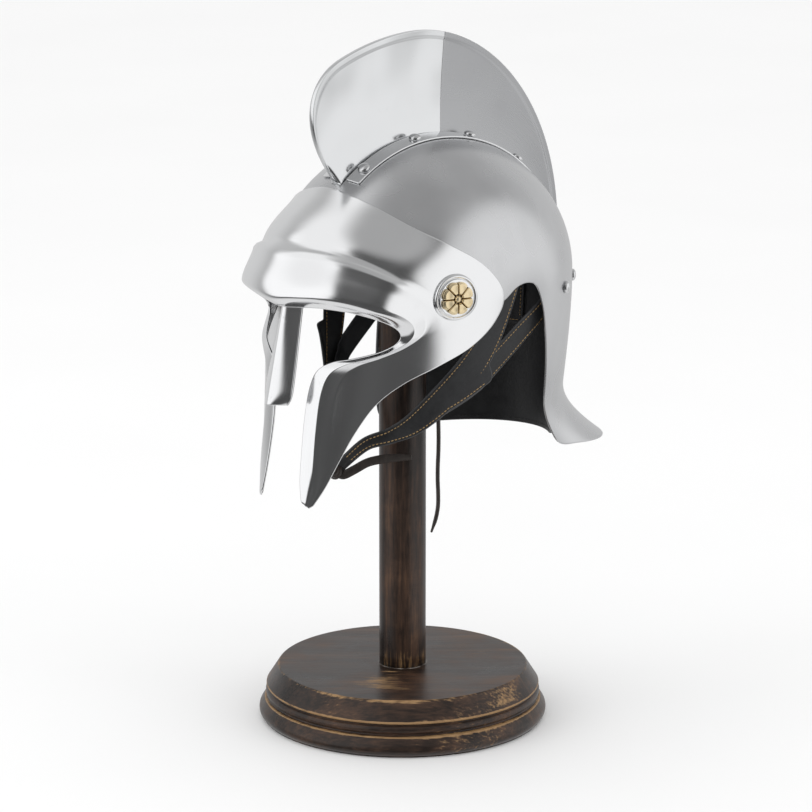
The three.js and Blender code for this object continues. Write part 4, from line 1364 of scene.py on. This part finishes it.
def turned_base(material):
    """Base of arcs and slopes: from its foot up a rounded foot with a worn arris over it, a
    bead between two grooves, a worn arris, a slope and the top's sharper arris. Each part
    gives its points and their share of wear. One place on the slope and one on the top are
    rubbed more, as exp(-(bearing / spread)^2), and glue shows round the pole on one side."""
    foot, bead, top = (BASE_RADIUS - 7, 6.6), (BEAD_RADIUS - 3.6, 20.9), BASE_TOP_RADIUS - 1.3
    parts = [
        ([[0, 0], [BASE_RADIUS - 6, 0], [BASE_RADIUS - 3, 0.3]], 0.0),
        (arc(foot, 7, -62, 35, 16), 0.2),
        ([[BEAD_RADIUS + 1.6, 14]], 0.2),
        ([[BEAD_RADIUS + 0.9, 14.9]], 0.6),
        (arc((BEAD_RADIUS - 0.4, 14.7), 1.1, 20, 110, 6), 1.0),
        ([[BEAD_RADIUS - 2.2, 16.3], [BEAD_RADIUS - 2.6, 17.2]], 0.1),
        (arc(bead, 3.4, -72, 72, 14), 0.12),
        ([[BEAD_RADIUS - 2.7, 24.6], [BEAD_RADIUS - 2.2, 25.6]], 0.1),
        (arc((BEAD_RADIUS - 1.9, 26.7), 1.1, -80, 40, 7), 1.0),
        ([[BEAD_RADIUS - 1.4, 27.9]], 0.3),
        ([[BEAD_RADIUS - 3.1 - 0.8 * n, 30.5 + 1.24 * n] for n in range(8)], 0.16),
        (arc((top, BASE_HEIGHT - 1.3), 1.3, 20, 90, 6), 0.66),
        ([[BASE_TOP_RADIUS * share, BASE_HEIGHT] for share in (0.98, 0.96)], 0.25),
        ([[BASE_TOP_RADIUS * (0.9 - 0.05 * n), BASE_HEIGHT] for n in range(14)], 0.1),
        ([[POLE_RADIUS + out, BASE_HEIGHT] for out in (3, 1.8, 0.6, -0.4)], 0.3),
        ([[0, BASE_HEIGHT]], 0.3),
    ]
    profile = np.concatenate([np.asarray(points, float) for points, _ in parts])
    edge = np.concatenate([np.full(len(points), share) for points, share in parts])
    segments = 288
    bearing = 360 * np.arange(segments)[:, None] / segments
    r, z = profile[:, 0], profile[:, 1]

    def near(place, spread):
        return np.exp(-((((bearing - place + 180) % 360 - 180) / spread) ** 2))

    on_top = z == BASE_HEIGHT
    on_slope = (z > SLOPE_HEIGHTS[0]) & (z < SLOPE_HEIGHTS[1])
    slope = on_slope * near(*SLOPE_RUB) * 0.62
    front = (on_top & (r > TOP_RADII[0]) & (r < TOP_RADII[1])) * near(*TOP_RUB) * 0.6
    glue = (on_top & (r < POLE_RADIUS + 1) & (r > 0)) * near(*GLUE_RING)
    wear = {"edge": edge + slope + front, "glue": glue}
    lathe("turned_base", profile, segments, material, ["stand_base"], wear)


def turned_pole(material):
    """Pole from the base to under the knob, worn most near the base."""
    low, high = (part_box("stand_pole")[k][2] / MM for k in (0, 1))
    z = np.concatenate([[low, low], np.linspace(low, high, 48), [high, high]])
    r = np.full(len(z), POLE_RADIUS)
    r[[0, -1]] = 0
    r[[1, -2]] = POLE_RADIUS - 0.5
    edge = 0.62 * (1 - ease(z - low, 0, 40)) + 0.1
    profile = np.column_stack([r, z])
    lathe("turned_pole", profile, 96, material, ["stand_pole"], {"edge": edge})


def turned_knob(material):
    """Round-topped block that fills the crown: a cap of a sphere over a rounded edge."""
    low, high = (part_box("stand_knob")[k][2] / MM for k in (0, 1))
    edge_top = high - (KNOB_CURVE - math.sqrt(KNOB_CURVE**2 - KNOB_RADIUS**2))
    r = KNOB_RADIUS * np.cos(np.linspace(0, math.pi / 2, 24))
    cap = np.column_stack([r, high - (KNOB_CURVE - np.sqrt(KNOB_CURVE**2 - r**2))])
    profile = np.concatenate(
        [
            [[0, low], [KNOB_RADIUS - 4, low]],
            arc((KNOB_RADIUS - 2.5, low + 2.5), 2.5, -90, 0, 8),
            [[KNOB_RADIUS, (low + edge_top) / 2]],
            cap,
        ]
    )
    lathe(
        "turned_knob", profile, 144, material, ["stand_knob"],
        {"edge": np.full(len(profile), 0.15)},
    )


# Camera, floor and light


def look_at(made, target):
    """Turns an object's -Z axis to a target, with +Y up."""
    made.rotation_euler = (Vector(target) - made.location).to_track_quat("-Z", "Y").to_euler()


def camera():
    """Camera at the photograph's angle, with its focal length in pixels of the photograph."""
    data = bpy.data.cameras.new("camera")
    made = add("camera", data)
    data.sensor_width = SENSOR
    data.lens = CAMERA_FOCAL / PHOTO_SIDE * SENSOR
    bearing = math.radians(CAMERA_BEARING)
    made.location = (
        math.sin(bearing) * CAMERA_DISTANCE, -math.cos(bearing) * CAMERA_DISTANCE, CAMERA_HEIGHT,
    )
    look_at(made, CAMERA_TARGET)
    bpy.context.scene.camera = made


def soft_light(name, bearing, height, away, size, power):
    """Rectangular light at a bearing round the object, turned to its middle. The steel's
    reflections come from the surroundings alone."""
    data = bpy.data.lights.new(name, "AREA")
    data.shape = "RECTANGLE"
    data.size, data.size_y = size
    data.energy = power
    made = add(name, data)
    made.location = (away * sine(bearing), -away * cosine(bearing), height)
    look_at(made, (0, 0, 0.3))
    made.visible_glossy = False


# Zones of the room that the steel mirrors, each laid over those before it. Columns: bearing,
# elevation, degrees from its middle to where it starts to fade, to where it has faded, and
# brightness. The first two are the ceiling and the floor
PANELS = [
    [0, 90, 38, 68, 0.5],
    [0, -90, 38, 60, 0.8],
    [50, 30, 8, 30, 0.1],
    [-20, 20, 34, 44, 1.1],
    [-26, 54, 18, 40, 0.95],
    [128, -5, 40, 50, 1.0],
    [148, -24, 6, 26, 0.58],
    [75, 66, 12, 36, 0.4],
    [47, -22, 4, 20, 0.09],
    [70, -27, 12, 24, 0.08],
]


def studio():
    """Pale floor, soft lights, and surroundings that are white to the lens and even to matt
    surfaces. Mirror rays see zones of a room that is brighter behind the object."""
    mesh = bpy.data.meshes.new("floor")
    far = 20
    corners = [(-far, -far, 0), (far, -far, 0), (far, far, 0), (-far, far, 0)]
    mesh.from_pydata(corners, [], [(0, 1, 2, 3)])
    mesh.materials.append(plain_floor("pale_floor"))
    floor = add("floor", mesh)
    floor.visible_glossy = False

    world = bpy.data.worlds.new("studio")
    bpy.context.scene.world = world
    world.use_nodes = True
    room = Nodes(world.node_tree)
    where = room.node("ShaderNodeTexCoord", output="Generated")

    def towards(bearing, elevation, low, high):
        """Share that grows from 0 to 1 as the angle from a direction falls from low to high."""
        level = cosine(elevation)
        axis = (level * sine(bearing), -level * cosine(bearing), sine(elevation))
        near = room.node("ShaderNodeVectorMath", {"operation": "DOT_PRODUCT"}, [where, axis], output=1)
        return near.between(cosine(low), cosine(high))

    light = 0.07 + towards(CAMERA_BEARING + 180, 0, 105, 40) * 0.6
    for bearing, elevation, inner, outer, brightness in PANELS:
        light = light + (brightness - light) * towards(bearing, elevation, outer, inner)
    lens, mirror = (
        room.node("ShaderNodeLightPath", output=name) for name in ("Is Camera Ray", "Is Glossy Ray")
    )
    light = 1.1 + (light - 1.1) * mirror
    light = light + (1.0 - light) * lens
    background = world.node_tree.nodes["Background"]
    background.inputs["Color"].default_value = (1, 1, 1, 1)
    room.put(background.inputs["Strength"], light)

    soft_light("key", -20, 1.9, 2.2, (1.5, 1.5), 11)
    soft_light("fill", 110, 1.3, 2.4, (0.8, 1.8), 5)
    bpy.context.scene.view_settings.view_transform = "Standard"


camera()
studio()

steel = polished_steel("polished_steel_plate", (0.86, 0.865, 0.875), 0.15, 0.08)
crest_steel = polished_steel(
    "crest_steel", (0.76, 0.77, 0.78), 0.17, 0.06, stretch=(10, 500, 1), dent=0.006
)
rear_steel = polished_steel(
    "rear_crest_steel", (0.44, 0.445, 0.455), 0.27, 0.06, stretch=(12, 300, 1), dent=0.001
)
bowl_steel = satin_bowl_steel("satin_bowl_steel")
stud_steel = polished_steel("stud_steel", (0.74, 0.745, 0.755), 0.2, 0.1, "Object", (600, 600, 600))
brass = aged_brass("aged_brass")
hide = grain_leather("black_hide", (0.008, 0.0085, 0.0095), (0.046, 0.047, 0.05), 0.44)
thong = thong_leather("dark_thong")
thread = waxed_thread("tan_thread")
black_thread = grain_leather("black_thread", (0.01, 0.01, 0.01), (0.06, 0.055, 0.05), 0.6)
turned_wood = stained_wood("turned_wood", math.radians(-GRAIN_BEARING), (0.1, 1, 1))
pole_wood = stained_wood("pole_wood", 0.0, (1, 1, 0.07))

tie_lace(thong)
bowl_shell(bowl_steel)
guard_plate(steel)
nasal_bar(steel)
crest_blades(crest_steel, rear_steel)
curtain_leather(hide, black_thread)
patch_leather(hide, thread)
knot_leather(thong)
tail_leather(thong)

for side, label in ((1, "left"), (-1, "right")):
    flange_strip(label, side, steel)
    boss_plate(label, side, steel)
    rosette_flower(label, side, brass)
    strap_and_arm(label, side, hide, thread)
    middle = side * (FLANGE_INNER + FLANGE_WIDTH / 2)
    for n, swing in enumerate(CREST_RIVETS, 1):
        foot = over_bowl(swing, middle, SEAT_GAP + FLANGE_WALL)
        normal = foot - over_bowl(swing, middle, 0)
        stud(f"stud_crest_{label}_{n}", foot, normal, stud_steel, [f"rivet_crest_{label}_{n}"])
    for n, bearing in enumerate(NAPE_RIVETS, 1):
        foot = skin(side * bearing, NAPE_RIVET_LEVEL)
        normal = skin_normal(side * bearing, NAPE_RIVET_LEVEL)
        stud(f"stud_nape_{label}_{n}", foot, normal, stud_steel, [f"rivet_nape_{label}_{n}"])

turned_base(turned_wood)
turned_pole(pole_wood)
turned_knob(turned_wood)
